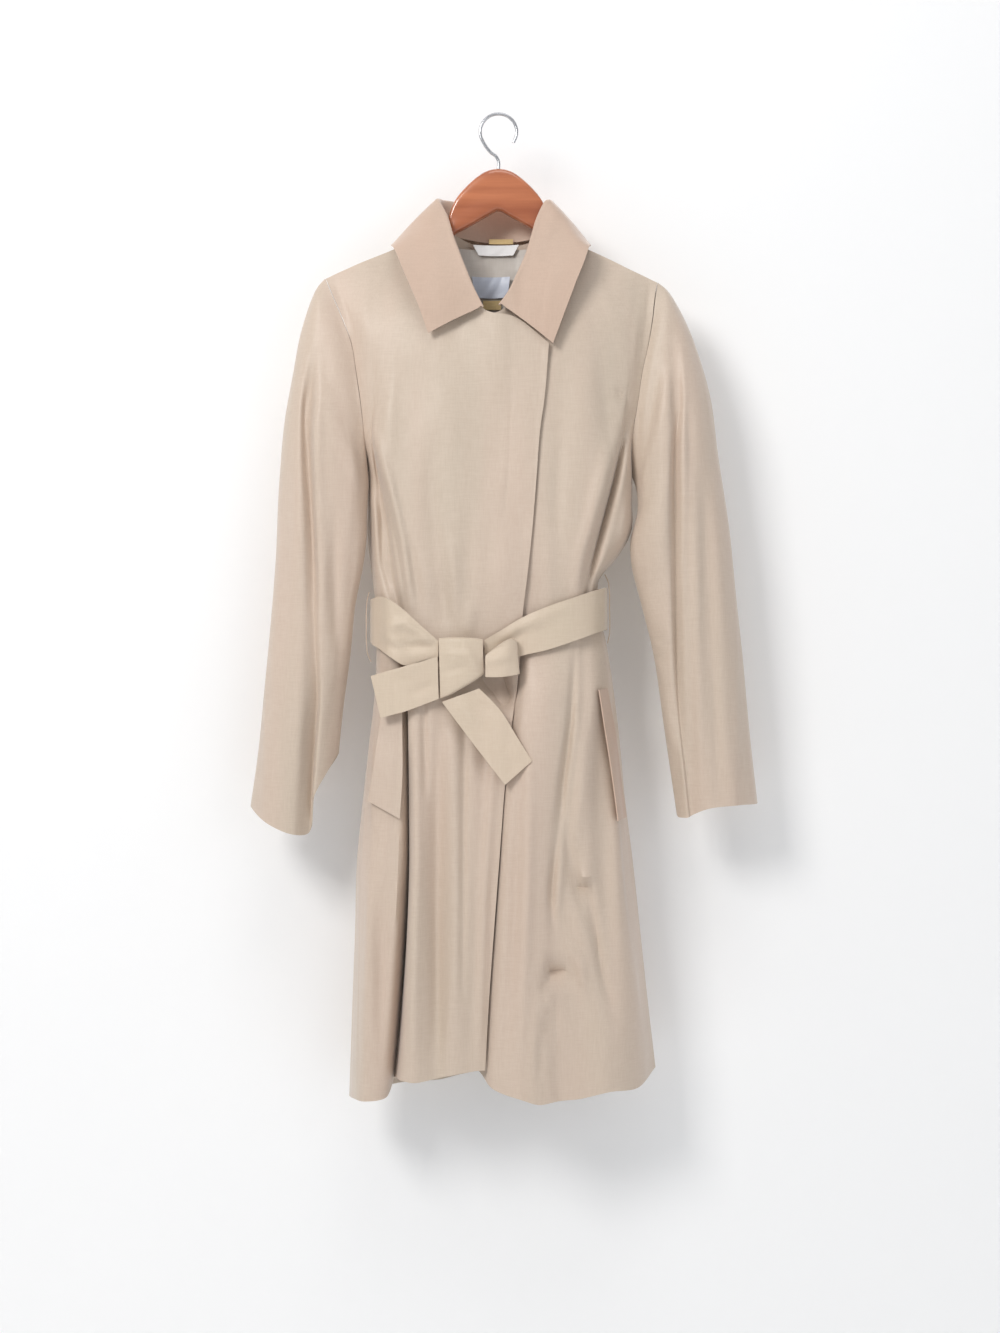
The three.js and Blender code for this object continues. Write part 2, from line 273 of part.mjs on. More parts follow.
const BELT_ROUND = [
  { at: 'knotL', x: -15.6, y: -52, top: -603.8, bottom: -636.4 },
  { at: 'a1', x: 1.7, y: -51.5, top: -593.6, bottom: -630.7 },
  { at: 'a2', x: 25.3, y: -53, top: -579.6, bottom: -621.8 },
  { at: 'a3', x: 54.5, y: -53.5, top: -566.7, bottom: -615.0 },
  { at: 'a4', x: 85.0, y: -50.5, top: -555.9, bottom: -604.9 },
  { at: 'a5', x: 105.6, y: -41, top: -548.8, bottom: -597.4 },
  { at: 'a6', x: 118.9, y: -25, top: -544.8, bottom: -592.6 },
  { at: 'sideL', x: 123.4, y: -4, top: -542.9, bottom: -590.5 },
  { at: 'b1', x: 124.4, y: 14, top: -542.7, bottom: -591.3 },
  { at: 'b2', x: 118.2, y: 30, top: -543.3, bottom: -592.2 },
  { at: 'b3', x: 102.4, y: 41, top: -544.0, bottom: -594.3 },
  { at: 'b4', x: 60.3, y: 43.5, top: -546.3, bottom: -597.8 },
  { at: 'b5', x: 1.7, y: 45, top: -549.7, bottom: -602.5 },
  { at: 'b6', x: -56.9, y: 44.5, top: -552.1, bottom: -604.8 },
  { at: 'b7', x: -115.4, y: 42.5, top: -553.3, bottom: -606.0 },
  { at: 'b8', x: -138.3, y: 34, top: -554.8, bottom: -606.1 },
  { at: 'b9', x: -146.2, y: 20, top: -556.4, bottom: -606.3 },
  { at: 'sideR', x: -146.9, y: 4, top: -556.9, bottom: -605.3 },
  { at: 'c1', x: -143.1, y: -10, top: -555.7, bottom: -608.9 },
  { at: 'c2', x: -134.7, y: -26, top: -554.0, bottom: -613.7 },
  { at: 'c3', x: -119.8, y: -50, top: -559.9, bottom: -624.0 },
  { at: 'c4', x: -105.0, y: -53, top: -571.2, bottom: -632.4 },
  { at: 'c5', x: -87.0, y: -54.5, top: -588.1, bottom: -627.4 },
  { at: 'knotR', x: -67.4, y: -56, top: -604.9, bottom: -622.3 },
];

const TAIL_SIDE = [
  { at: 'knot', upper: [-68.2, -60, -622.3], lower: [-67.0, -60, -669.9] },
  { at: 's1', upper: [-90.1, -60, -629.1], lower: [-87.9, -60, -677.8] },
  { at: 's2', upper: [-111.5, -57, -635.2], lower: [-104.8, -58, -684.0] },
  { at: 's3', upper: [-127.6, -51, -639.7], lower: [-119.6, -54, -688.0] },
  { at: 'end', upper: [-143.8, -44, -644.3], lower: [-132.3, -48, -691.5] },
];

const TAIL_DOWN = [
  { at: 'knot', upper: [-21.8, -62, -658.2], lower: [-63.2, -62, -673.3] },
  { at: 't1', upper: [-8.3, -63.5, -671.0], lower: [-48.6, -64, -692.8] },
  { at: 't2', upper: [5.1, -65, -686.6], lower: [-31.8, -65.5, -715.1] },
  { at: 't3', upper: [20.7, -67, -712.3], lower: [-11.7, -67, -741.3] },
  { at: 'end', upper: [37.4, -68, -739.0], lower: [7.3, -68, -765.8] },
];

const BOW_LOOP = [
  { at: 'backKnot', upper: [-14.5, -57, -620.7], lower: [-14.5, -57, -645.3] },
  { at: 'back', upper: [5.1, -57.5, -606.1], lower: [4.0, -57.5, -645.3] },
  { at: 'backTurn', upper: [16.3, -59, -601.6], lower: [19.6, -59.5, -643.1] },
  { at: 'turn', upper: [19.6, -63, -605.0], lower: [23.0, -63, -641.9] },
  { at: 'frontTurn', upper: [12.9, -67, -602.8], lower: [18.5, -67.5, -643.0] },
  { at: 'front', upper: [0.6, -69, -609.6], lower: [2.8, -69.5, -645.3] },
  { at: 'frontKnot', upper: [-14.5, -67, -621.8], lower: [-14.5, -67, -645.3] },
];

const KNOT = [
  { at: 'left', upper: [-66.9, -58, -602.2], lower: [-65.2, -58, -669.4] },
  { at: 'l2', upper: [-56.5, -62, -601.7], lower: [-54.2, -62, -664.9] },
  { at: 'mid', upper: [-41.9, -63.5, -601.7], lower: [-39.7, -63.5, -656.5] },
  { at: 'r2', upper: [-28.5, -63, -602.2], lower: [-26.2, -63, -648.6] },
  { at: 'right', upper: [-17.8, -60, -603.3], lower: [-16.4, -60, -641.9] },
];

const WELT_R = [
  { at: 'top', upper: [-129.9, -31, -671.6], lower: [-108.9, -42, -678.1] },
  { at: 'w1', upper: [-135.4, -34, -705.5], lower: [-108.3, -44, -714.2] },
  { at: 'w2', upper: [-140.9, -36, -745.1], lower: [-108.1, -47, -755.8] },
  { at: 'bottom', upper: [-148.1, -30, -786.2], lower: [-110.8, -50, -805.1] },
];

const WELT_L = [
  { at: 'top', upper: [113.4, -43, -660.1], lower: [123.5, -24, -658.0] },
  { at: 'w1', upper: [120.1, -45, -705.1], lower: [132.1, -22, -704.7] },
  { at: 'w2', upper: [128.0, -45, -755.9], lower: [139.1, -20, -757.2] },
  { at: 'bottom', upper: [134.8, -44, -807.8], lower: [145.5, -18, -805.3] },
];

const HANGER_HALF = [  // top and bottom edge of the wood, from the arm's tip to the middle
  { out: 174.2, top: -200.6, bottom: -214.4 },
  { out: 163.9, top: -193.7, bottom: -210.9 },
  { out: 121.3, top: -173.0, bottom: -190.2 },
  { out: 90.3, top: -159.2, bottom: -176.4 },
  { out: 69.6, top: -151.1, bottom: -163.8 },
  { out: 62.7, top: -144.2, bottom: -155.7 },
  { out: 56.9, top: -115.5, bottom: -142.5 },
  { out: 50.0, top: -98.2, bottom: -136.8 },
  { out: 36.2, top: -81.5, bottom: -129.3 },
  { out: 21.3, top: -68.9, bottom: -120.7 },
  { out: 12.1, top: -64.1, bottom: -115.5 },
  { out: 0.0, top: -62.0, bottom: -109.7 },
];

// Direction of the cloth's thickness along each armhole station (x outward, y front negative).
const ARMHOLE_FACING = [[0, 0, 1], [0.1, 0.62, 0.8], [0.2, 0.9, 0.35], [0.25, 0.95, 0.1], [0.3, 0.95, 0], [0.4, 0.9, 0], [0.75, 0.65, 0], [1, 0, 0]];

// rows of a panel: stations of the armhole, then levels down to the hem
const LEVELS = [-445, -476.6, -505, -534.1, -556, -578, -605, -635, -660.6, -688, -718.1, -752, -787.1, -856.1, -936.6, -1017.1];
function panelGrid(rails, top, sections, hem, armhole, split) {
  const grid = [];
  const rail = (name) => {
    const ks = [], vs = [];
    ks.push(-top[name][2]); vs.push([top[name][0], top[name][1]]);
    for (const s of sections) if (-s.z > ks[0] + 8) { ks.push(-s.z); vs.push(s[name]); }
    if (-hem[name][2] > ks[ks.length - 1] + 15) { ks.push(-hem[name][2]); vs.push([hem[name][0], hem[name][1]]); }
    return (z) => through(ks, vs, -z);
  };
  const curves = rails.map(rail);
  const tip = armhole[0].z, under = ARMHOLE_BOTTOM;
  const heights = (i) => {
    const name = rails[i], zt = top[name][2], zh = hem[name][2];
    const up = armhole.map((s) => lerp(zt, under, (s.z - tip) / (under - tip)));
    return [...up, ...LEVELS.map((z) => z), zh];
  };
  const H = rails.map((_, i) => heights(i));
  for (let r = 0; r < H[0].length; r++) {
    const pts = rails.map((_, i) => { const p = curves[i](H[i][r]); return [p[0], p[1], H[i][r]]; });
    const row = [];
    for (let i = 0; i < pts.length; i++) {
      row.push(pts[i]);
      if (i < pts.length - 1) for (let k = 1; k < split[i]; k++) row.push(across(pts, i, k / split[i]));
    }
    grid.push(row);
  }
  return grid;
}
// point between two neighbouring rails, on a curve through the four around it
function across(p, i, t) {
  const p0 = p[Math.max(0, i - 1)], p1 = p[i], p2 = p[i + 1], p3 = p[Math.min(p.length - 1, i + 2)];
  const d = (a, b) => Math.sqrt(Math.hypot(...sub(a, b))) || 1e-3;
  const d01 = d(p0, p1), d12 = d(p1, p2), d23 = d(p2, p3);
  return p1.map((_, c) => {
    const m1 = i === 0 ? p2[c] - p1[c] : d12 * ((p1[c] - p0[c]) / d01 - (p2[c] - p0[c]) / (d01 + d12) + (p2[c] - p1[c]) / d12);
    const m2 = i === p.length - 2 ? p2[c] - p1[c] : d12 * ((p2[c] - p1[c]) / d12 - (p3[c] - p1[c]) / (d12 + d23) + (p3[c] - p2[c]) / d23);
    const t2 = t * t, t3 = t2 * t;
    return (2 * t3 - 3 * t2 + 1) * p1[c] + (t3 - 2 * t2 + t) * m1 + (-2 * t3 + 3 * t2) * p2[c] + (t3 - t2) * m2;
  });
}

// ---------- panels ----------
const FRONT_R_RAILS = ['side', 'strip', 'lobe', 'lobeIn', 'pleat', 'fold', 'crestA', 'valleyA', 'midA', 'midB', 'midC', 'midD', 'edge'];
const FRONT_L_RAILS = ['edge', 'underA', 'underB', 'wrap', 'crest', 'midA', 'midB', 'fold', 'valley', 'puff', 'puffSide', 'side'];
const FRONT_R_SPLIT = [1, 1, 1, 1, 1, 1, 1, 1, 2, 1, 1, 1];
const FRONT_L_SPLIT = [1, 1, 1, 1, 1, 1, 1, 1, 1, 1, 1];
const half = SEAM_GAP / 2;

// Puts the side edge of a panel on the shared armhole and side seam, half a gap off it.
function sewSide(grid, col, armhole, sign, face) {
  armhole.forEach((s, k) => {
    const y = k === 0 ? 0 : (face < 0 ? s.yf : s.yb);
    grid[k][col] = [s.x, y, s.z];
  });
  grid.forEach((row) => { row[col] = add(row[col], [0, face * half, 0]); });
  return grid.map((row, r) => {
    const n = new Array(row.length).fill(null);
    if (r < armhole.length) {
      const [a, b, c] = ARMHOLE_FACING[r];
      n[col] = [sign * a, face * b, c];
    } else n[col] = [sign, 0, 0];
    return n;
  });
}
// The shoulder seam: cloth stands upright on the seam, half a gap off it.
function sewShoulder(grid, normals, cols, face) {
  for (const c of cols) {
    grid[0][c] = [grid[0][c][0], face * half, grid[0][c][2]];
    normals[0][c] = [0, 0, 1];
  }
}
const frontR = panelGrid(FRONT_R_RAILS, FRONT_R_TOP, FRONT_R_SECTIONS, FRONT_R_HEM, ARMHOLE_R, FRONT_R_SPLIT);
const frontRN = sewSide(frontR, 0, ARMHOLE_R, -1, -1);
sewShoulder(frontR, frontRN, [0, 1, 2, 3, 4, 5, 6, 7, 8], -1);
const frontL = panelGrid(FRONT_L_RAILS, FRONT_L_TOP, FRONT_L_SECTIONS, FRONT_L_HEM, ARMHOLE_L, FRONT_L_SPLIT);
const lastL = frontL[0].length - 1;
const frontLN = sewSide(frontL, lastL, ARMHOLE_L, 1, -1);
sewShoulder(frontL, frontLN, [4, 5, 6, 7, 8, 9, 10, 11], -1);

// The back: a row for each vertical pleat, pressed flat by the belt and opening to the hem.
const BACK_PLEATS = [
  { f: 0.15, wide: 0.05, chest: 0, waist: -5, hem: 9 },
  { f: 0.29, wide: 0.05, chest: -2, waist: -9, hem: -12 },
  { f: 0.43, wide: 0.06, chest: 1, waist: 3, hem: 9 },
  { f: 0.57, wide: 0.05, chest: -1, waist: -8, hem: -10 },
  { f: 0.71, wide: 0.06, chest: 1, waist: 4, hem: 8 },
  { f: 0.85, wide: 0.05, chest: -2, waist: -8, hem: -9 },
];
function backPoint(f, z, left, right) {
  const deep = through([130, 265, 413, 560, 620, 800, 1120], [[38], [35], [37], [BACK_WAIST], [BACK_WAIST], [44], [BACK_HEM]], -z)[0];
  const side = lerp(left[1], right[1], f);
  let y = side + (deep - side) * Math.pow(Math.sin(Math.PI * clamp(f, 0, 1)), 0.45);
  for (const p of BACK_PLEATS) {
    const a = through([260, 420, 590, 1120], [[0], [p.chest], [p.waist], [p.hem]], -z)[0];
    y += a * Math.exp(-(((f - p.f) / p.wide) ** 2));
  }
  return [lerp(left[0], right[0], f), y, z];
}
const seamAt = (grid, col, r) => [grid[r][col][0], grid[r][col][1] + half, grid[r][col][2]];
const backGrid = [];
for (let r = 0; r < frontR.length; r++) {
  const up = r < ARMHOLE_R.length;
  const L = up ? [ARMHOLE_R[r].x, ARMHOLE_R[r].yb, ARMHOLE_R[r].z] : seamAt(frontR, 0, r);
  const Rr = up ? [ARMHOLE_L[r].x, ARMHOLE_L[r].yb, ARMHOLE_L[r].z] : seamAt(frontL, lastL, r);
  backGrid.push(BACK_TOP.map((c) => {
    const t = up ? (ARMHOLE_R[r].z - ARMHOLE_R[0].z) / (ARMHOLE_BOTTOM - ARMHOLE_R[0].z) : 1;
    const z = up ? lerp(c.z, lerp(L[2], Rr[2], c.f) * 0 + ARMHOLE_BOTTOM, t)
      : r === frontR.length - 1 ? lerp(L[2], Rr[2], c.f) + 6 * Math.sin(Math.PI * c.f) : L[2];
    const low = backPoint(c.f, z, L, Rr);
    if (!up || t >= 1) return low;
    const k = Math.pow(clamp((c.z - z) / 130, 0, 1), 0.6);
    const wide = BACK_TOP[BACK_TOP.length - 1].x - BACK_TOP[0].x;
    const share = lerp((c.x - BACK_TOP[0].x) / wide, c.f, Math.pow(t, 0.8));
    return [lerp(L[0], Rr[0], share), lerp(c.y, low[1], k), z];
  }));
}
const backN = backGrid.map((row) => new Array(row.length).fill(null));
const lastB = BACK_TOP.length - 1;
backGrid.forEach((row, r) => {
  for (const [c, s, arm] of [[0, -1, ARMHOLE_R], [lastB, 1, ARMHOLE_L]]) {
    const up = r < arm.length;
    if (up) row[c] = [arm[r].x, r === 0 ? 0 : arm[r].yb, arm[r].z];
    row[c] = add(row[c], [0, half, 0]);
    const [a, b, d] = up ? ARMHOLE_FACING[r] : [1, 0, 0];
    backN[r][c] = [s * a, b, d];
  }
});
BACK_TOP.forEach((c, i) => { if (Math.abs(c.y) < 1) { backGrid[0][i] = [backGrid[0][i][0], half, backGrid[0][i][2]]; backN[0][i] = [0, 0, 1]; } });

// ---------- sleeves ----------
// 14 columns round each ring: tip, f1..f6 down the front, under, b6..b1 up the back.
const EVEN = [0, 0.05, 0.19, 0.39, 0.61, 0.81, 0.95, 1];
function sleeve(armhole, rows, drop, sign) {
  const rings = [], normals = [];
  const off = (k) => (k >= 6 ? 2.8 : k === 0 ? 0.6 : 0.9);
  const first = armhole.map((s, k) => [s.x + sign * off(k), k === 0 ? 0 : s.yf, s.z - (k === 7 ? 2.5 : 0)]);
  const backs = armhole.map((s, k) => [s.x + sign * off(k), s.yb, s.z]);
  rings.push([...first, ...backs.slice(1, 7).reverse()]);
  normals.push([...ARMHOLE_FACING.map(([a, b, c], k) => (k === 7 ? [sign * 0.6, 0, -0.8] : [sign * a, -b, c])), ...ARMHOLE_FACING.slice(1, 7).reverse().map(([a, b, c]) => [sign * a, b, c])]);
  rows.forEach((row, ri) => {
    const v = row.fold;
    const folded = [0, 0.3 * v, 0.75 * v, v, v + 0.2 * (1 - v), v + 0.6 * (1 - v), v + 0.92 * (1 - v), 1];
    const ring = [];
    for (let k = 0; k < 8; k++) {
      const t = lerp(EVEN[k], folded[k], row.follow);
      const p = mix(row.outer, row.inner, t);
      p[1] -= row.front * Math.sqrt(Math.max(0, 4 * t * (1 - t)));
      if (k === 3) p[1] += row.foldDeep * row.follow;
      if (ri === rows.length - 1 && k > 0 && k < 7) p[2] -= drop[`f${k}`];
      ring.push(p);
    }
    for (let k = 6; k > 0; k--) {
      const t = EVEN[k], p = mix(row.outer, row.inner, t);
      p[1] += row.back * Math.sqrt(4 * t * (1 - t));
      if (ri === rows.length - 1) p[2] -= drop[`b${k}`];
      ring.push(p);
    }
    rings.push(ring);
    normals.push(new Array(14).fill(null));
  });
  return wall(rings, CLOTH, { around: true, normals });
}

// ---------- collar: stand inside, rolled over, fall outside ----------
const collarRows = COLLAR.map((s) => {
  const out = unit([s.edge[0] - s.roll[0], s.edge[1] - s.roll[1], 0]);
  const over = add(add(s.roll, out, 5.5), [0, 0, -1]);
  const top = add(add(s.roll, out, 2.6), [0, 0, 1.2]);
  const mid = mix(over, s.edge, 0.5);
  const away = unit([out[0] * 0.5, out[1] * 0.5 - 0.4 * (s.edge[1] < 30 ? 1 : -1), 0]);
  return [s.neck, mix(s.neck, s.roll, 0.55), s.roll, top, over, add(mid, away, 1.5), s.edge];
});
const collarGrid = collarRows[0].map((_, r) => collarRows.map((c) => c[r]));

// ---------- belt ----------
const beltGrid = [0, 1 / 3, 2 / 3, 1].map((t) => BELT_ROUND.map((s) => [s.x, s.y, lerp(s.top, s.bottom, t)]));
function beltStretch(from, to) {
  const names = BELT_ROUND.map((s) => s.at), a = names.indexOf(from), b = names.indexOf(to);
  const N = beltGrid.map((row, r) => row.map((_, c) => {
    const at = (c2) => row[clamp(c2, 0, row.length - 1)];
    return cross([0, 0, -1], sub(at(c + 1), at(c - 1)));
  }));
  const cut = (g) => g.map((row) => row.slice(a, b + 1));
  const grid = cut(beltGrid).map((row) => {
    const n = row.length - 1, s = unit(sub(row[1], row[0])), e = unit(sub(row[n], row[n - 1]));
    return row.map((p, i) => (i === 0 ? add(p, s, half) : i === n ? add(p, e, -half) : p));
  });
  return wall(grid, BELT_CLOTH, { normals: cut(N) });
}
function strip(rows, thick, cuts = 2, swell = 0) {
  const grid = [];
  for (let k = 0; k <= cuts; k++) {
    const t = k / cuts;
    grid.push(rows.map((s) => { const p = mix(s.upper, s.lower, t); p[1] -= swell * 4 * t * (1 - t); return p; }));
  }
  return wall(grid, thick);
}

// The knot: a plump closed fold of belt between a flat back and a swollen front.
function knot(rows, back) {
  const ring = (s) => {
    const pts = [];
    for (let k = 0; k <= 4; k++) { const t = k / 4, p = mix(s.upper, s.lower, t); p[1] -= 3 * 4 * t * (1 - t); pts.push(p); }
    const low = [s.lower[0], back, s.lower[2] + 2], high = [s.upper[0], back, s.upper[2] - 2];
    return [...pts, low, mix(low, high, 0.5), high];
  };
  return loft(rows.map(ring));
}

// ---------- small neck pieces, each a slightly bowed patch on the back neck ----------
function patch(x0, x1, z0, z1, y, thick, { bow = 2, taper = 0, nx = 6, nz = 3 } = {}) {
  const grid = [];
  for (let r = 0; r <= nz; r++) {
    const v = r / nz, row = [];
    for (let c = 0; c <= nx; c++) {
      const u = c / nx, m = (x0 + x1) / 2, x = m + (lerp(x0, x1, u) - m) * (1 - taper * v);
      row.push([x, y - bow * (2 * u - 1) ** 2, lerp(z0, z1, v)]);
    }
    grid.push(row);
  }
  return wall(grid, thick);
}

// ---------- thread loops and hook: a round wire along points ----------
function wire(points, radius, sides = 8, steps = 3) {
  const curve = new THREE.CatmullRomCurve3(points.map((p) => new THREE.Vector3(...p)), false, 'centripetal');
  const n = (points.length - 1) * steps, rings = [];
  let side = null;
  for (let i = 0; i <= n; i++) {
    const p = curve.getPoint(i / n), t = curve.getTangent(i / n);
    if (!side) side = new THREE.Vector3(0, 1, 0).addScaledVector(t, -t.y).normalize();
    side = side.clone().addScaledVector(t, -side.dot(t)).normalize();
    const other = new THREE.Vector3().crossVectors(t, side);
    rings.push(Array.from({ length: sides }, (_, k) => {
      const a = (2 * Math.PI * k) / sides;
      return p.clone().addScaledVector(side, radius * Math.cos(a)).addScaledVector(other, radius * Math.sin(a)).toArray();
    }));
  }
  return loft(rings);
}

// ---------- hanger ----------
function hangerBody() {
  const stations = [...HANGER_HALF.map((s) => ({ ...s, x: -s.out })), ...HANGER_HALF.slice(0, -1).reverse().map((s) => ({ ...s, x: s.out }))];
  const h = WOOD_THICK / 2;
  return loft(stations.map(({ x, top, bottom }) => {
    const arm = clamp((Math.abs(x) - 50) / 14, 0, 1);   // slimmer, and pointed on top, where cloth lies on it
    const c = lerp(3, 2, arm), w = lerp(h, 4.6, arm), ridge = lerp(h - 3, 1, arm), drop = lerp(3, 8, arm);
    const low = Math.min(top - drop, bottom + c + (top - bottom) * 0.5);
    const up = Math.max(low, top - drop), down = Math.min(bottom + c, up - 1);
    return [[x, -ridge, top], [x, -w, up], [x, -w, down], [x, -w + c, bottom], [x, w - c, bottom], [x, w, down], [x, w, up], [x, ridge, top]];
  }));
}
const bowMid = ROD - HOOK_RADIUS;
const hookPoints = [];
for (let a = -35; a <= 215; a += 25) hookPoints.push([HOOK_RADIUS * Math.cos(a * Math.PI / 180), 0, bowMid + HOOK_RADIUS * Math.sin(a * Math.PI / 180)]);
hookPoints.push([-10, 0, -41.5], [-3, 0, -47], [0, 0, -53], [0, 0, WOOD_TOP + 0.4]);

// ---------- the coat ----------
const cloth = new THREE.MeshStandardMaterial({ color: 0xd0bfac, roughness: 0.6, metalness: 0 });
const collarCloth = new THREE.MeshStandardMaterial({ color: 0xcab2a1, roughness: 0.65, metalness: 0 });
const lining = new THREE.MeshStandardMaterial({ color: 0xcfc6ba, roughness: 0.45, metalness: 0 });
const white = new THREE.MeshStandardMaterial({ color: 0xf2f1ee, roughness: 0.7, metalness: 0 });
const satin = new THREE.MeshStandardMaterial({ color: 0xb7bdcb, roughness: 0.3, metalness: 0 });
const tape = new THREE.MeshStandardMaterial({ color: 0xd9bd86, roughness: 0.6, metalness: 0 });
const wood = new THREE.MeshStandardMaterial({ color: 0xb9714a, roughness: 0.25, metalness: 0 });
const metal = new THREE.MeshStandardMaterial({ color: 0xc4c6c8, roughness: 0.25, metalness: 1 });

const coat = new THREE.Group();
function piece(name, geometry, material) {
  const mesh = new THREE.Mesh(geometry, material);
  mesh.name = name;
  coat.add(mesh);
}
piece('back', wall(backGrid, CLOTH, { normals: backN }), cloth);
piece('front_right', wall(frontR, CLOTH, { normals: frontRN }), cloth);
piece('front_left', wall(frontL, CLOTH, { normals: frontLN }), cloth);
piece('sleeve_right', sleeve(ARMHOLE_R, SLEEVE_R, CUFF_DROP_R, -1), cloth);
piece('sleeve_left', sleeve(ARMHOLE_L, SLEEVE_L, CUFF_DROP_L, 1), cloth);
piece('collar', wall(collarGrid, COLLAR_CLOTH), collarCloth);
piece('pocket_welt_right', strip(WELT_R, CLOTH, 3), cloth);
piece('pocket_welt_left', strip(WELT_L, CLOTH, 3), cloth);
piece('belt_side_left', beltStretch('knotL', 'sideL'), cloth);
piece('belt_back', beltStretch('sideL', 'sideR'), cloth);
piece('belt_side_right', beltStretch('sideR', 'knotR'), cloth);
piece('belt_knot', knot(KNOT, -52), cloth);
piece('belt_tail_side', strip(TAIL_SIDE, BELT_CLOTH, 3), cloth);
piece('belt_tail_down', strip(TAIL_DOWN, BELT_CLOTH, 3), cloth);
piece('belt_bow_loop', strip(BOW_LOOP, BELT_CLOTH, 3), cloth);
piece('lining_neck', patch(-54, 50, -150, -255, 27, 1, { bow: 17, nx: 10, nz: 5 }), lining);
piece('neck_tape', patch(-29.7, 23.8, -144.7, -156.9, 24.5, 1, { bow: 4.5, taper: 0.25 }), white);
piece('label_satin', patch(-30.8, 13.4, -181.7, -206.1, 24.5, 1, { bow: 5, taper: 0.12 }), satin);
piece('neck_tab', patch(-18, 2.9, -208.8, -219.3, 24.5, 1, { bow: 0.5, nx: 3, nz: 2 }), tape);
piece('hanging_loop', patch(-11.1, 16.9, -136.7, -142.5, 27, 1, { bow: 0.8, nx: 4, nz: 2 }), tape);
piece('hanger_body', hangerBody(), wood);
piece('hanger_hook', wire(hookPoints, ROD, 10, 2), metal);
piece('thread_loop_right', wire([[-149, 2, -548], [-151.5, 0, -560], [-152, -1, -590], [-151, 1, -618], [-147, 4, -628]], 0.7, 6, 2), cloth);
piece('thread_loop_left', wire([[122, -3, -528], [126.5, -4, -538], [127.5, -5, -568], [127.5, -5, -596], [125, -3, -607]], 0.7, 6, 2), cloth);

export default coat;
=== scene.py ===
# A light belted wrap coat hanging on its wooden hanger: the looks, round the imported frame.
import bpy, math
import numpy as np
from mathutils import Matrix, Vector


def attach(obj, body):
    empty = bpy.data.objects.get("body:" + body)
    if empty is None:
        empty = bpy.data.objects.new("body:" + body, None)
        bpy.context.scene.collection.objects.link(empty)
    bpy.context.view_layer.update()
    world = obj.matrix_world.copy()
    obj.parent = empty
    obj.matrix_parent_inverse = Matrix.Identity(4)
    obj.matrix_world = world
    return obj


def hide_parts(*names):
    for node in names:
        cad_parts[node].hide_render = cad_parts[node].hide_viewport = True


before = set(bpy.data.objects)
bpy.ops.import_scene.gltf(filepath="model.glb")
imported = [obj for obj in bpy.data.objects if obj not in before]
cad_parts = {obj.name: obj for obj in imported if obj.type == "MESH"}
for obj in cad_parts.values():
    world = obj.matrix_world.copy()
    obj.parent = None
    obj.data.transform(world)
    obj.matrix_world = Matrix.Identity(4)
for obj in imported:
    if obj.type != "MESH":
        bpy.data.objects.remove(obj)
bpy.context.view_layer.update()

# ---- tables of the coat's form, in millimetres, the same as the solids' ----
FRONT_R_TOP = {
  "side": [-198.3, -0.9, -188.1], "strip": [-192.5, -0.9, -185.3], "lobe": [-184.5, -0.9, -181.5], "lobeIn": [-175.3, -0.9, -177.3], "pleat": [-163.8, -0.9, -172.0], "fold": [-150.0, -0.9, -166.3], "crestA": [-121.3, -0.9, -154.8], "valleyA": [-92.5, -0.9, -142.1], "midA": [-67.2, -0.9, -131.8], "midB": [-40.2, -32, -196.4], "midC": [-15.2, -46, -231.2], "midD": [18.6, -48, -240.0], "edge": [56.8, -50, -269.6],
}
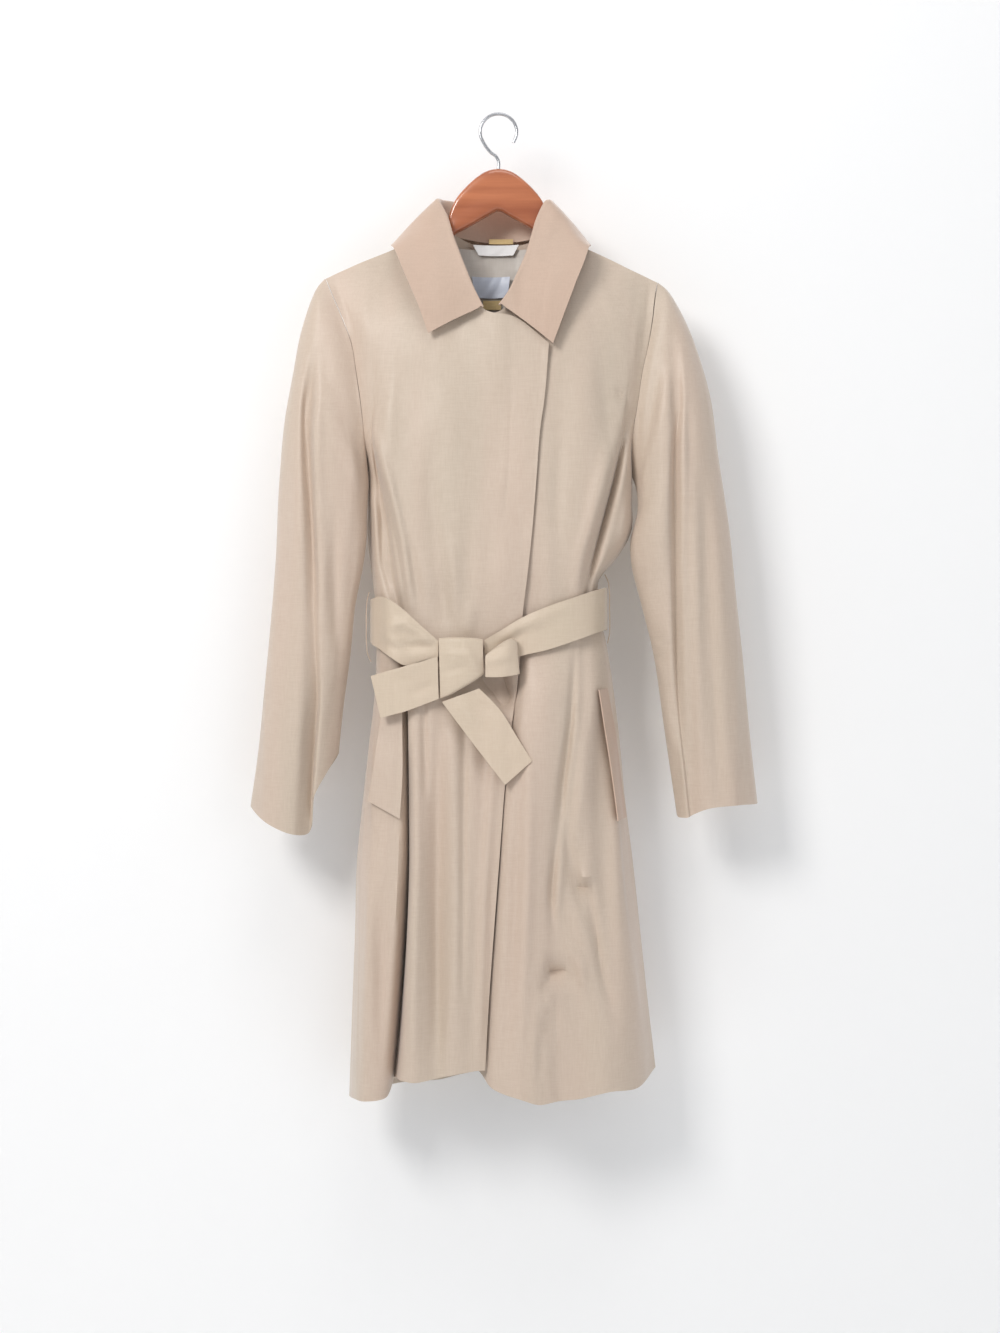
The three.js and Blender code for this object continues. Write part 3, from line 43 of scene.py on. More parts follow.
FRONT_R_SECTIONS = [
  { "z": -263.8, "side": [-166.1, -16], "strip": [-162.5, -19], "lobe": [-157.7, -22], "lobeIn": [-153.0, -25], "pleat": [-147.1, -28], "fold": [-139.0, -31], "crestA": [-119.4, -36], "valleyA": [-94.3, -40], "midA": [-66.0, -43], "midB": [-32.1, -46], "midC": [-1.7, -48], "midD": [27.6, -49], "edge": [56.8, -50] },
  { "z": -327.1, "side": [-156.1, -20], "strip": [-153.1, -23], "lobe": [-149.6, -25], "lobeIn": [-146.0, -27], "pleat": [-141.3, -29], "fold": [-134.3, -33], "crestA": [-115.9, -38], "valleyA": [-90.9, -42], "midA": [-63.7, -45], "midB": [-32.1, -48], "midC": [-2.8, -50], "midD": [25.3, -51], "edge": [52.3, -51] },
  { "z": -373.1, "side": [-151.4, -15], "strip": [-149.4, -19], "lobe": [-147.5, -21], "lobeIn": [-145.8, -22], "pleat": [-144.0, -23], "fold": [-140.5, -33], "crestA": [-122.6, -40], "valleyA": [-95.3, -44], "midA": [-65.9, -47], "midB": [-34.3, -49], "midC": [-6.1, -51], "midD": [20.8, -52], "edge": [46.1, -52] },
  { "z": -413.3, "side": [-149.2, 4], "strip": [-147.0, -3], "lobe": [-144.8, -10], "lobeIn": [-142.2, -15], "pleat": [-138.9, -13], "fold": [-131.2, -38], "crestA": [-115.6, -43], "valleyA": [-91.8, -46], "midA": [-63.6, -48], "midB": [-34.3, -50], "midC": [-7.3, -52], "midD": [17.5, -53], "edge": [43.3, -53] },
  { "z": -476.6, "side": [-151.1, 16], "strip": [-148.2, 6], "lobe": [-143.9, -6], "lobeIn": [-135.2, -18], "pleat": [-127.4, -14], "fold": [-118.1, -40], "crestA": [-104.3, -45], "valleyA": [-83.9, -48], "midA": [-59.0, -50], "midB": [-34.2, -52], "midC": [-9.5, -53], "midD": [14.1, -54], "edge": [38.2, -54] },
  { "z": -534.1, "side": [-145.2, 14], "strip": [-143.4, 3], "lobe": [-139.1, -10], "lobeIn": [-129.3, -22], "pleat": [-120.3, -20], "fold": [-110.0, -42], "crestA": [-97.5, -46], "valleyA": [-79.3, -49], "midA": [-56.7, -51], "midB": [-34.2, -52], "midC": [-10.6, -53], "midD": [10.7, -53], "edge": [32.1, -53] },
  { "z": -570.9, "side": [-141.1, 13], "strip": [-139.7, 0], "lobe": [-134.9, -14], "lobeIn": [-122.0, -30], "pleat": [-113.0, -29], "fold": [-104.4, -42], "crestA": [-94.2, -44], "valleyA": [-77.2, -46], "midA": [-55.7, -47], "midB": [-34.3, -48], "midC": [-11.8, -48], "midD": [8.5, -49], "edge": [27.6, -49] },
  { "z": -614.6, "side": [-140.5, 12], "strip": [-138.6, 0], "lobe": [-132.5, -16], "lobeIn": [-115.2, -30], "pleat": [-108.6, -26], "fold": [-102.1, -43], "crestA": [-91.8, -46], "valleyA": [-74.9, -47], "midA": [-54.6, -46], "midB": [-34.4, -44], "midC": [-14.1, -43], "midD": [6.2, -44], "edge": [24.8, -47] },
  { "z": -660.6, "side": [-142.2, 12], "strip": [-140.3, 0], "lobe": [-132.9, -18], "lobeIn": [-109.5, -30], "pleat": [-104.2, -22], "fold": [-100.9, -45], "crestA": [-90.5, -50], "valleyA": [-72.5, -50], "midA": [-53.5, -45], "midB": [-34.4, -40], "midC": [-16.4, -38], "midD": [1.7, -40], "edge": [20.3, -47] },
  { "z": -718.1, "side": [-148.6, 12], "strip": [-145.9, -2], "lobe": [-136.1, -22], "lobeIn": [-107.0, -34], "pleat": [-101.0, -18], "fold": [-100.0, -48], "crestA": [-89.2, -54], "valleyA": [-71.3, -53], "midA": [-53.4, -51], "midB": [-35.4, -48], "midC": [-18.6, -47], "midD": [-2.8, -48], "edge": [12.4, -52] },
  { "z": -787.1, "side": [-156.1, 12], "strip": [-152.7, -4], "lobe": [-139.1, -28], "lobeIn": [-105.7, -38], "pleat": [-100.0, -14], "fold": [-99.5, -50], "crestA": [-88.0, -57], "valleyA": [-69.0, -54], "midA": [-52.2, -55], "midB": [-36.4, -55], "midC": [-20.7, -54], "midD": [-7.3, -53], "edge": [5.7, -53] },
  { "z": -856.1, "side": [-163.0, 12], "strip": [-158.9, -6], "lobe": [-142.2, -33], "lobeIn": [-106.8, -40], "pleat": [-100.2, -10], "fold": [-98.9, -52], "crestA": [-87.9, -59], "valleyA": [-67.9, -54], "midA": [-52.1, -57], "midB": [-37.5, -57], "midC": [-24.1, -56], "midD": [-11.8, -54], "edge": [0.6, -53] },
  { "z": -936.6, "side": [-165.3, 12], "strip": [-161.0, -8], "lobe": [-145.3, -38], "lobeIn": [-111.3, -39], "pleat": [-104.9, -8], "fold": [-100.6, -52], "crestA": [-89.0, -60], "valleyA": [-68.5, -53], "midA": [-53.2, -57], "midB": [-39.8, -58], "midC": [-27.4, -57], "midD": [-16.2, -54], "edge": [-5.6, -53] },
  { "z": -1017.1, "side": [-168.2, 12], "strip": [-163.3, -8], "lobe": [-147.4, -40], "lobeIn": [-118.2, -37], "pleat": [-111.8, -6], "fold": [-103.9, -52], "crestA": [-91.2, -61], "valleyA": [-69.1, -53], "midA": [-54.3, -58], "midB": [-42.0, -59], "midC": [-30.8, -57], "midD": [-20.7, -55], "edge": [-11.4, -53] },
]
FRONT_R_HEM = {
  "side": [-172.0, 12, -1130.1], "strip": [-166.7, -8, -1128.0], "lobe": [-149.6, -42, -1124.7], "lobeIn": [-128.6, -34, -1122.4], "pleat": [-120.0, -4, -1106.0], "fold": [-108.4, -52, -1099.4], "crestA": [-93.4, -61, -1099.8], "valleyA": [-69.1, -52, -1096.6], "midA": [-55.4, -58, -1092.6], "midB": [-44.2, -59, -1090.2], "midC": [-34.2, -57, -1088.9], "midD": [-24.1, -55, -1087.6], "edge": [-15.1, -53, -1087.4],
}
FRONT_L_TOP = {
  "edge": [-49.3, -33, -253.3], "underA": [-20.9, -35, -237.7], "underB": [5.1, -36, -228.9], "wrap": [26.7, -28, -195.6], "crest": [69.5, -0.9, -139.2], "midA": [97.1, -0.9, -151.9], "midB": [130.5, -0.9, -167.4], "fold": [155.8, -0.9, -179.8], "valley": [163.8, -0.9, -183.5], "puff": [169.6, -0.9, -186.4], "puffSide": [175.3, -0.9, -189.2], "side": [182.2, -0.9, -192.7],
}
FRONT_L_SECTIONS = [
  { "z": -263.8, "edge": [-51.5, -37], "underA": [-13.0, -39], "underB": [22.1, -41], "wrap": [52.5, -43], "crest": [71.7, -42], "midA": [95.5, -40], "midB": [122.9, -35], "fold": [148.3, -27], "valley": [155.4, -24], "puff": [160.1, -21], "puffSide": [164.9, -18], "side": [169.6, -16] },
  { "z": -327.1, "edge": [-52.5, -40], "underA": [-16.3, -42], "underB": [16.4, -45], "wrap": [46.8, -46], "crest": [66.0, -46], "midA": [90.8, -44], "midB": [119.3, -38], "fold": [143.5, -31], "valley": [147.2, -27], "puff": [150.8, -24], "puffSide": [154.4, -21], "side": [158.1, -17] },
  { "z": -373.1, "edge": [-52.4, -45], "underA": [-18.6, -46], "underB": [11.9, -46], "wrap": [42.3, -47], "crest": [61.4, -48], "midA": [85.1, -47], "midB": [112.3, -43], "fold": [137.0, -36], "valley": [141.1, -25], "puff": [145.2, -22], "puffSide": [148.9, -18], "side": [151.0, -12] },
  { "z": -413.3, "edge": [-52.4, -46], "underA": [-19.7, -47], "underB": [8.5, -47], "wrap": [36.6, -48], "crest": [56.8, -50], "midA": [79.3, -50], "midB": [104.2, -48], "fold": [128.2, -42], "valley": [133.8, -22], "puff": [142.8, -25], "puffSide": [150.2, -15], "side": [153.8, 4] },
  { "z": -476.6, "edge": [-52.4, -46], "underA": [-23.1, -47], "underB": [4.0, -48], "wrap": [31.0, -49], "crest": [50.1, -51], "midA": [69.2, -52], "midB": [89.4, -51], "fold": [111.6, -46], "valley": [117.8, -24], "puff": [132.2, -30], "puffSide": [146.7, -17], "side": [152.8, 6] },
  { "z": -511.1, "edge": [-52.4, -46], "underA": [-24.2, -47], "underB": [0.6, -47], "wrap": [27.6, -48], "crest": [45.6, -50], "midA": [63.6, -51], "midB": [82.7, -50], "fold": [103.2, -45], "valley": [108.5, -28], "puff": [119.8, -30], "puffSide": [129.6, -16], "side": [134.3, 6] },
  { "z": -539.8, "edge": [-51.3, -45], "underA": [-25.3, -45], "underB": [-0.5, -46], "wrap": [25.4, -46], "crest": [42.3, -47], "midA": [60.3, -48], "midB": [78.3, -47], "fold": [96.5, -43], "valley": [101.5, -32], "puff": [107.4, -28], "puffSide": [110.9, -14], "side": [113.7, 8] },
  { "z": -570.9, "edge": [-51.3, -42], "underA": [-26.5, -43], "underB": [-2.8, -43], "wrap": [22.0, -43], "crest": [38.9, -44], "midA": [57.0, -45], "midB": [75.0, -44], "fold": [92.1, -41], "valley": [98.0, -35], "puff": [106.2, -28], "puffSide": [112.6, -14], "side": [116.0, 8] },
  { "z": -614.6, "edge": [-50.3, -37], "underA": [-26.6, -37], "underB": [-5.1, -36], "wrap": [19.8, -37], "crest": [35.5, -45], "midA": [53.6, -46], "midB": [71.6, -45], "fold": [87.5, -43], "valley": [94.5, -38], "puff": [106.0, -33], "puffSide": [119.2, -18], "side": [125.2, 8] },
  { "z": -660.6, "edge": [-49.4, -28], "underA": [-27.8, -29], "underB": [-6.2, -29], "wrap": [14.8, -34], "crest": [30.9, -55], "midA": [49.9, -60], "midB": [67.9, -57], "fold": [83.8, -51], "valley": [91.9, -45], "puff": [106.7, -42], "puffSide": [124.8, -20], "side": [132.1, 8] },
  { "z": -718.1, "edge": [-48.1, -34], "underA": [-28.8, -36], "underB": [-10.7, -38], "wrap": [6.2, -40], "crest": [21.9, -60], "midA": [43.1, -64], "midB": [63.3, -60], "fold": [79.2, -54], "valley": [88.4, -49], "puff": [106.5, -46], "puffSide": [128.2, -22], "side": [139.1, 8] },
  { "z": -787.1, "edge": [-48.0, -40], "underA": [-29.9, -42], "underB": [-14.1, -43], "wrap": [-0.5, -42], "crest": [15.2, -61], "midA": [38.6, -66], "midB": [56.6, -62], "fold": [70.7, -56], "valley": [82.7, -51], "puff": [105.2, -50], "puffSide": [131.3, -26], "side": [145.4, 8] },
  { "z": -856.1, "edge": [-48.0, -42], "underA": [-32.1, -44], "underB": [-18.6, -44], "wrap": [-5.0, -42], "crest": [10.7, -61], "midA": [35.2, -67], "midB": [52.1, -63], "fold": [65.1, -56], "valley": [80.4, -52], "puff": [107.4, -52], "puffSide": [135.7, -30], "side": [154.1, 8] },
  { "z": -936.6, "edge": [-48.0, -42], "underA": [-34.4, -44], "underB": [-23.1, -44], "wrap": [-10.7, -42], "crest": [5.1, -60], "midA": [31.9, -68], "midB": [48.7, -64], "fold": [62.3, -57], "valley": [82.6, -54], "puff": [114.0, -54], "puffSide": [144.6, -32], "side": [162.7, 8] },
  { "z": -1017.1, "edge": [-48.0, -40], "underA": [-36.7, -42], "underB": [-26.5, -42], "wrap": [-16.3, -41], "crest": [-0.5, -59], "midA": [29.6, -69], "midB": [47.5, -66], "fold": [64.5, -58], "valley": [89.3, -55], "puff": [120.7, -55], "puffSide": [151.3, -34], "side": [171.4, 8] },
]
FRONT_L_HEM = {
  "edge": [-47.0, -32, -1086.6], "underA": [-37.9, -34, -1086.2], "underB": [-28.9, -34, -1087.3], "wrap": [-19.8, -37, -1093.5], "crest": [-6.1, -58, -1107.2], "midA": [28.5, -70, -1118.0], "midB": [45.2, -68, -1122.9], "fold": [69.0, -59, -1120.4], "valley": [91.5, -56, -1118.8], "puff": [125.1, -56, -1111.0], "puffSide": [156.9, -34, -1111.1], "side": [180.6, 8, -1095.7],
}
ARMHOLE_R = [
  { "at": 'tip', "z": -187.9, "x": -198.4, "yf": 0, "yb": 0 },
  { "at": 'capHigh', "z": -209.8, "x": -189.2, "yf": -9, "yb": 10 },
  { "at": 'capMid', "z": -239.7, "x": -176.5, "yf": -14, "yb": 17 },
  { "at": 'capLow', "z": -265.0, "x": -167.3, "yf": -16, "yb": 21 },
  { "at": 'chest', "z": -296.0, "x": -162.1, "yf": -18, "yb": 24 },
  { "at": 'pitch', "z": -330.5, "x": -157.0, "yf": -20, "yb": 25 },
  { "at": 'low', "z": -374.2, "x": -152.4, "yf": -15, "yb": 20 },
  { "at": 'under', "z": -413.3, "x": -148.9, "yf": 4, "yb": 4 },
]
ARMHOLE_L = [
  { "at": 'tip', "z": -192.5, "x": 182.3, "yf": 0, "yb": 0 },
  { "at": 'capHigh', "z": -212.1, "x": 178.8, "yf": -9, "yb": 10 },
  { "at": 'capMid', "z": -239.7, "x": 175.4, "yf": -14, "yb": 17 },
  { "at": 'capLow', "z": -265.0, "x": 170.8, "yf": -16, "yb": 21 },
  { "at": 'chest', "z": -296.0, "x": 163.9, "yf": -17, "yb": 24 },
  { "at": 'pitch', "z": -330.5, "x": 158.7, "yf": -17, "yb": 25 },
  { "at": 'low', "z": -374.2, "x": 152.4, "yf": -12, "yb": 20 },
  { "at": 'under', "z": -413.3, "x": 153.5, "yf": 4, "yb": 4 },
]
SLEEVE_R = [
  { "at": 'cap1', "outer": [-208.7, 0, -199.4], "inner": [-149.4, -2, -425.0], "front": 27, "back": 31, "fold": 0.08, "foldDeep": 2, "follow": 0 },
  { "at": 'cap2', "outer": [-226.2, 2, -247.4], "inner": [-150.3, -5, -439.0], "front": 34, "back": 34, "fold": 0.14, "foldDeep": 6, "follow": 0.5 },
  { "at": 'cap3', "outer": [-236.5, 2, -300.3], "inner": [-151.4, -6, -459.8], "front": 36, "back": 35, "fold": 0.2, "foldDeep": 8, "follow": 1 },
  { "at": 'upper', "outer": [-245.7, 2, -352.1], "inner": [-152.0, -6, -488.5], "front": 36, "back": 35, "fold": 0.28, "foldDeep": 9, "follow": 1 },
  { "at": 'elbowHigh', "outer": [-252.1, 2, -425.8], "inner": [-156.6, -5, -522.8], "front": 35, "back": 33, "fold": 0.39, "foldDeep": 9, "follow": 1 },
  { "at": 'elbow', "outer": [-256.1, 2, -512.1], "inner": [-164.7, -4, -562.9], "front": 34, "back": 31, "fold": 0.49, "foldDeep": 9, "follow": 1 },
  { "at": 'foreHigh', "outer": [-263.0, 2, -598.4], "inner": [-170.6, -2, -620.3], "front": 33, "back": 29, "fold": 0.58, "foldDeep": 10, "follow": 1 },
  { "at": 'foreMid', "outer": [-269.6, 4, -664.1], "inner": [-177.7, 0, -672.1], "front": 33, "back": 28, "fold": 0.68, "foldDeep": 12, "follow": 1 },
  { "at": 'foreLow', "outer": [-276.0, 5, -728.6], "inner": [-182.4, 2, -712.4], "front": 33, "back": 27, "fold": 0.7, "foldDeep": 14, "follow": 1 },
  { "at": 'cuff', "outer": [-285.6, 8, -794.5], "inner": [-184.2, 4, -732.0], "front": 33, "back": 26, "fold": 0.68, "foldDeep": 15, "follow": 1 },
]
SLEEVE_L = [
  { "at": 'cap1', "outer": [193.8, 0, -201.7], "inner": [158.0, -2, -426.2], "front": 27, "back": 31, "fold": 0.08, "foldDeep": 1, "follow": 0 },
  { "at": 'cap2', "outer": [212.4, 2, -232.4], "inner": [159.5, -5, -435.6], "front": 34, "back": 34, "fold": 0.12, "foldDeep": 4, "follow": 0.5 },
  { "at": 'cap3', "outer": [228.5, 2, -271.6], "inner": [160.0, -6, -446.0], "front": 36, "back": 35, "fold": 0.33, "foldDeep": 6, "follow": 1 },
  { "at": 'upper', "outer": [243.4, 2, -324.5], "inner": [159.4, -6, -458.6], "front": 36, "back": 35, "fold": 0.5, "foldDeep": 7, "follow": 1 },
  { "at": 'elbowHigh', "outer": [252.6, 2, -392.4], "inner": [152.0, -5, -489.5], "front": 35, "back": 33, "fold": 0.51, "foldDeep": 7, "follow": 1 },
  { "at": 'elbow', "outer": [265.3, 2, -476.4], "inner": [153.3, -4, -518.2], "front": 34, "back": 31, "fold": 0.56, "foldDeep": 7, "follow": 1 },
  { "at": 'foreHigh', "outer": [273.4, 2, -557.0], "inner": [164.9, -2, -564.0], "front": 33, "back": 29, "fold": 0.65, "foldDeep": 7, "follow": 1 },
  { "at": 'foreMid', "outer": [280.5, 4, -620.3], "inner": [178.8, 0, -620.3], "front": 33, "back": 28, "fold": 0.76, "foldDeep": 7, "follow": 1 },
  { "at": 'foreLow', "outer": [288.7, 5, -707.9], "inner": [191.6, 2, -707.8], "front": 32, "back": 27, "fold": 0.82, "foldDeep": 6, "follow": 1 },
  { "at": 'cuff', "outer": [298.3, 8, -791.1], "inner": [205.6, 4, -801.2], "front": 31, "back": 26, "fold": 0.85, "foldDeep": 5, "follow": 1 },
]
CUFF_DROP_R = { "f1": 30, "f2": 62, "f3": 71, "f4": 34, "f5": 16, "f6": 3, "b1": 7, "b2": 14, "b3": 29, "b4": 29, "b5": 17, "b6": 6 }
CUFF_DROP_L = { "f1": -2, "f2": -2, "f3": 5, "f4": 6, "f5": 6, "f6": 5, "b1": -5, "b2": -7, "b3": -9, "b4": -9, "b5": -7, "b6": -3 }
COLLAR = [
  { "at": 'frontR', "roll": [-17.4, -53, -229.7], "edge": [-79.2, -52, -258.7], "neck": [-18.6, -46, -227.8] },
  { "at": 'r1', "roll": [-27.5, -50, -208.9], "edge": [-89.3, -53, -229.7], "neck": [-32.2, -41, -206.0] },
  { "at": 'r2', "roll": [-36.6, -45, -186.5], "edge": [-98.3, -52, -208.1], "neck": [-42.5, -30, -182.4] },
  { "at": 'r3', "roll": [-44.7, -37, -164.5], "edge": [-107.4, -49, -187.3], "neck": [-51.3, -18, -159.5] },
  { "at": 'r4', "roll": [-51.7, -27, -144.3], "edge": [-113.9, -43, -170.3], "neck": [-59.0, -9, -139.3] },
  { "at": 'r5', "roll": [-58.9, -12, -118.2], "edge": [-119.7, -30, -157.4], "neck": [-66.6, -3, -127.6] },
  { "at": 'peakR', "roll": [-68.0, 4, -97.3], "edge": [-122.7, -6, -151.2], "neck": [-67.4, 5, -125.9] },
  { "at": 'r7', "roll": [-61.0, 22, -94.3], "edge": [-116.7, 22, -145.3], "neck": [-58.5, 16, -131.6] },
  { "at": 'r8', "roll": [-35.6, 35, -94.7], "edge": [-82.6, 43, -151.5], "neck": [-35.5, 27, -137.3] },
  { "at": 'back', "roll": [-1.8, 40, -94.8], "edge": [-1.8, 53, -160.0], "neck": [-2.9, 33, -140.7] },
  { "at": 'l8', "roll": [32.1, 35, -94.7], "edge": [74.4, 43, -151.5], "neck": [36.6, 27, -137.3] },
  { "at": 'l7', "roll": [58.4, 13, -98.7], "edge": [102.6, 20, -145.8], "neck": [68.7, 10, -128.2] },
  { "at": 'peakL', "roll": [53.3, -9, -101.5], "edge": [105.4, -8, -151.7], "neck": [65.9, -7, -132.0] },
  { "at": 'l5', "roll": [44.0, -15, -121.1], "edge": [102.7, -30, -157.4], "neck": [57.8, -11, -137.4] },
  { "at": 'l4', "roll": [37.0, -27, -146.6], "edge": [96.5, -43, -177.1], "neck": [46.3, -14, -151.8] },
  { "at": 'l3', "roll": [31.2, -36, -166.6], "edge": [88.4, -49, -197.4], "neck": [37.6, -20, -166.7] },
  { "at": 'l2', "roll": [23.2, -44, -186.3], "edge": [81.5, -53, -216.2], "neck": [29.0, -27, -186.3] },
  { "at": 'l1', "roll": [11.8, -50, -211.1], "edge": [71.3, -55, -243.5], "neck": [16.4, -37, -207.5] },
  { "at": 'frontL', "roll": [0.6, -51.5, -227.1], "edge": [61.2, -56.5, -270.7], "neck": [4.0, -43, -224.5] },
]
BACK_TOP = [
  { "f": 0.0, "x": -198.5, "y": 0.9, "z": -187.8 },
  { "f": 0.03, "x": -190.4, "y": 0.9, "z": -183.7 },
  { "f": 0.08, "x": -176.6, "y": 0.9, "z": -177.4 },
  { "f": 0.15, "x": -154.7, "y": 0.9, "z": -168.2 },
  { "f": 0.22, "x": -130.6, "y": 0.9, "z": -158.4 },
  { "f": 0.29, "x": -99.5, "y": 0.9, "z": -144.6 },
  { "f": 0.36, "x": -67.3, "y": 0.9, "z": -131.4 },
  { "f": 0.43, "x": -33.2, "y": 30, "z": -140.8 },
  { "f": 0.5, "x": -5.3, "y": 38, "z": -143.7 },
  { "f": 0.57, "x": 27.4, "y": 32, "z": -142.1 },
  { "f": 0.64, "x": 69.6, "y": 0.9, "z": -138.9 },
  { "f": 0.71, "x": 97.2, "y": 0.9, "z": -151.5 },
  { "f": 0.78, "x": 124.8, "y": 0.9, "z": -164.2 },
  { "f": 0.85, "x": 149.0, "y": 0.9, "z": -176.2 },
  { "f": 0.92, "x": 166.2, "y": 0.9, "z": -184.3 },
  { "f": 0.97, "x": 175.4, "y": 0.9, "z": -188.9 },
  { "f": 1, "x": 182.3, "y": 0.9, "z": -192.4 },
]
BELT_ROUND = [
  { "at": 'knotL', "x": -15.6, "y": -52, "top": -603.8, "bottom": -636.4 },
  { "at": 'a1', "x": 1.7, "y": -51.5, "top": -593.6, "bottom": -630.7 },
  { "at": 'a2', "x": 25.3, "y": -53, "top": -579.6, "bottom": -621.8 },
  { "at": 'a3', "x": 54.5, "y": -53.5, "top": -566.7, "bottom": -615.0 },
  { "at": 'a4', "x": 85.0, "y": -50.5, "top": -555.9, "bottom": -604.9 },
  { "at": 'a5', "x": 105.6, "y": -41, "top": -548.8, "bottom": -597.4 },
  { "at": 'a6', "x": 118.9, "y": -25, "top": -544.8, "bottom": -592.6 },
  { "at": 'sideL', "x": 123.4, "y": -4, "top": -542.9, "bottom": -590.5 },
  { "at": 'b1', "x": 124.4, "y": 14, "top": -542.7, "bottom": -591.3 },
  { "at": 'b2', "x": 118.2, "y": 30, "top": -543.3, "bottom": -592.2 },
  { "at": 'b3', "x": 102.4, "y": 41, "top": -544.0, "bottom": -594.3 },
  { "at": 'b4', "x": 60.3, "y": 43.5, "top": -546.3, "bottom": -597.8 },
  { "at": 'b5', "x": 1.7, "y": 45, "top": -549.7, "bottom": -602.5 },
  { "at": 'b6', "x": -56.9, "y": 44.5, "top": -552.1, "bottom": -604.8 },
  { "at": 'b7', "x": -115.4, "y": 42.5, "top": -553.3, "bottom": -606.0 },
  { "at": 'b8', "x": -138.3, "y": 34, "top": -554.8, "bottom": -606.1 },
  { "at": 'b9', "x": -146.2, "y": 20, "top": -556.4, "bottom": -606.3 },
  { "at": 'sideR', "x": -146.9, "y": 4, "top": -556.9, "bottom": -605.3 },
  { "at": 'c1', "x": -143.1, "y": -10, "top": -555.7, "bottom": -608.9 },
  { "at": 'c2', "x": -134.7, "y": -26, "top": -554.0, "bottom": -613.7 },
  { "at": 'c3', "x": -119.8, "y": -50, "top": -559.9, "bottom": -624.0 },
  { "at": 'c4', "x": -105.0, "y": -53, "top": -571.2, "bottom": -632.4 },
  { "at": 'c5', "x": -87.0, "y": -54.5, "top": -588.1, "bottom": -627.4 },
  { "at": 'knotR', "x": -67.4, "y": -56, "top": -604.9, "bottom": -622.3 },
]
TAIL_SIDE = [
  { "at": 'knot', "upper": [-68.2, -60, -622.3], "lower": [-67.0, -60, -669.9] },
  { "at": 's1', "upper": [-90.1, -60, -629.1], "lower": [-87.9, -60, -677.8] },
  { "at": 's2', "upper": [-111.5, -57, -635.2], "lower": [-104.8, -58, -684.0] },
  { "at": 's3', "upper": [-127.6, -51, -639.7], "lower": [-119.6, -54, -688.0] },
  { "at": 'end', "upper": [-143.8, -44, -644.3], "lower": [-132.3, -48, -691.5] },
]
TAIL_DOWN = [
  { "at": 'knot', "upper": [-21.8, -62, -658.2], "lower": [-63.2, -62, -673.3] },
  { "at": 't1', "upper": [-8.3, -63.5, -671.0], "lower": [-48.6, -64, -692.8] },
  { "at": 't2', "upper": [5.1, -65, -686.6], "lower": [-31.8, -65.5, -715.1] },
  { "at": 't3', "upper": [20.7, -67, -712.3], "lower": [-11.7, -67, -741.3] },
  { "at": 'end', "upper": [37.4, -68, -739.0], "lower": [7.3, -68, -765.8] },
]
BOW_LOOP = [
  { "at": 'backKnot', "upper": [-14.5, -57, -620.7], "lower": [-14.5, -57, -645.3] },
  { "at": 'back', "upper": [5.1, -57.5, -606.1], "lower": [4.0, -57.5, -645.3] },
  { "at": 'backTurn', "upper": [16.3, -59, -601.6], "lower": [19.6, -59.5, -643.1] },
  { "at": 'turn', "upper": [19.6, -63, -605.0], "lower": [23.0, -63, -641.9] },
  { "at": 'frontTurn', "upper": [12.9, -67, -602.8], "lower": [18.5, -67.5, -643.0] },
  { "at": 'front', "upper": [0.6, -69, -609.6], "lower": [2.8, -69.5, -645.3] },
  { "at": 'frontKnot', "upper": [-14.5, -67, -621.8], "lower": [-14.5, -67, -645.3] },
]
KNOT = [
  { "at": 'left', "upper": [-66.9, -58, -602.2], "lower": [-65.2, -58, -669.4] },
  { "at": 'l2', "upper": [-56.5, -62, -601.7], "lower": [-54.2, -62, -664.9] },
  { "at": 'mid', "upper": [-41.9, -63.5, -601.7], "lower": [-39.7, -63.5, -656.5] },
  { "at": 'r2', "upper": [-28.5, -63, -602.2], "lower": [-26.2, -63, -648.6] },
  { "at": 'right', "upper": [-17.8, -60, -603.3], "lower": [-16.4, -60, -641.9] },
]
WELT_R = [
  { "at": 'top', "upper": [-129.9, -31, -671.6], "lower": [-108.9, -42, -678.1] },
  { "at": 'w1', "upper": [-135.4, -34, -705.5], "lower": [-108.3, -44, -714.2] },
  { "at": 'w2', "upper": [-140.9, -36, -745.1], "lower": [-108.1, -47, -755.8] },
  { "at": 'bottom', "upper": [-148.1, -30, -786.2], "lower": [-110.8, -50, -805.1] },
]
WELT_L = [
  { "at": 'top', "upper": [113.4, -43, -660.1], "lower": [123.5, -24, -658.0] },
  { "at": 'w1', "upper": [120.1, -45, -705.1], "lower": [132.1, -22, -704.7] },
  { "at": 'w2', "upper": [128.0, -45, -755.9], "lower": [139.1, -20, -757.2] },
  { "at": 'bottom', "upper": [134.8, -44, -807.8], "lower": [145.5, -18, -805.3] },
]
HANGER_HALF = [  
  { "out": 174.2, "top": -200.6, "bottom": -214.4 },
  { "out": 163.9, "top": -193.7, "bottom": -210.9 },
  { "out": 121.3, "top": -173.0, "bottom": -190.2 },
  { "out": 90.3, "top": -159.2, "bottom": -176.4 },
  { "out": 69.6, "top": -151.1, "bottom": -163.8 },
  { "out": 62.7, "top": -144.2, "bottom": -155.7 },
  { "out": 56.9, "top": -115.5, "bottom": -142.5 },
  { "out": 50.0, "top": -98.2, "bottom": -136.8 },
  { "out": 36.2, "top": -81.5, "bottom": -129.3 },
  { "out": 21.3, "top": -68.9, "bottom": -120.7 },
  { "out": 12.1, "top": -64.1, "bottom": -115.5 },
  { "out": 0.0, "top": -62.0, "bottom": -109.7 },
]
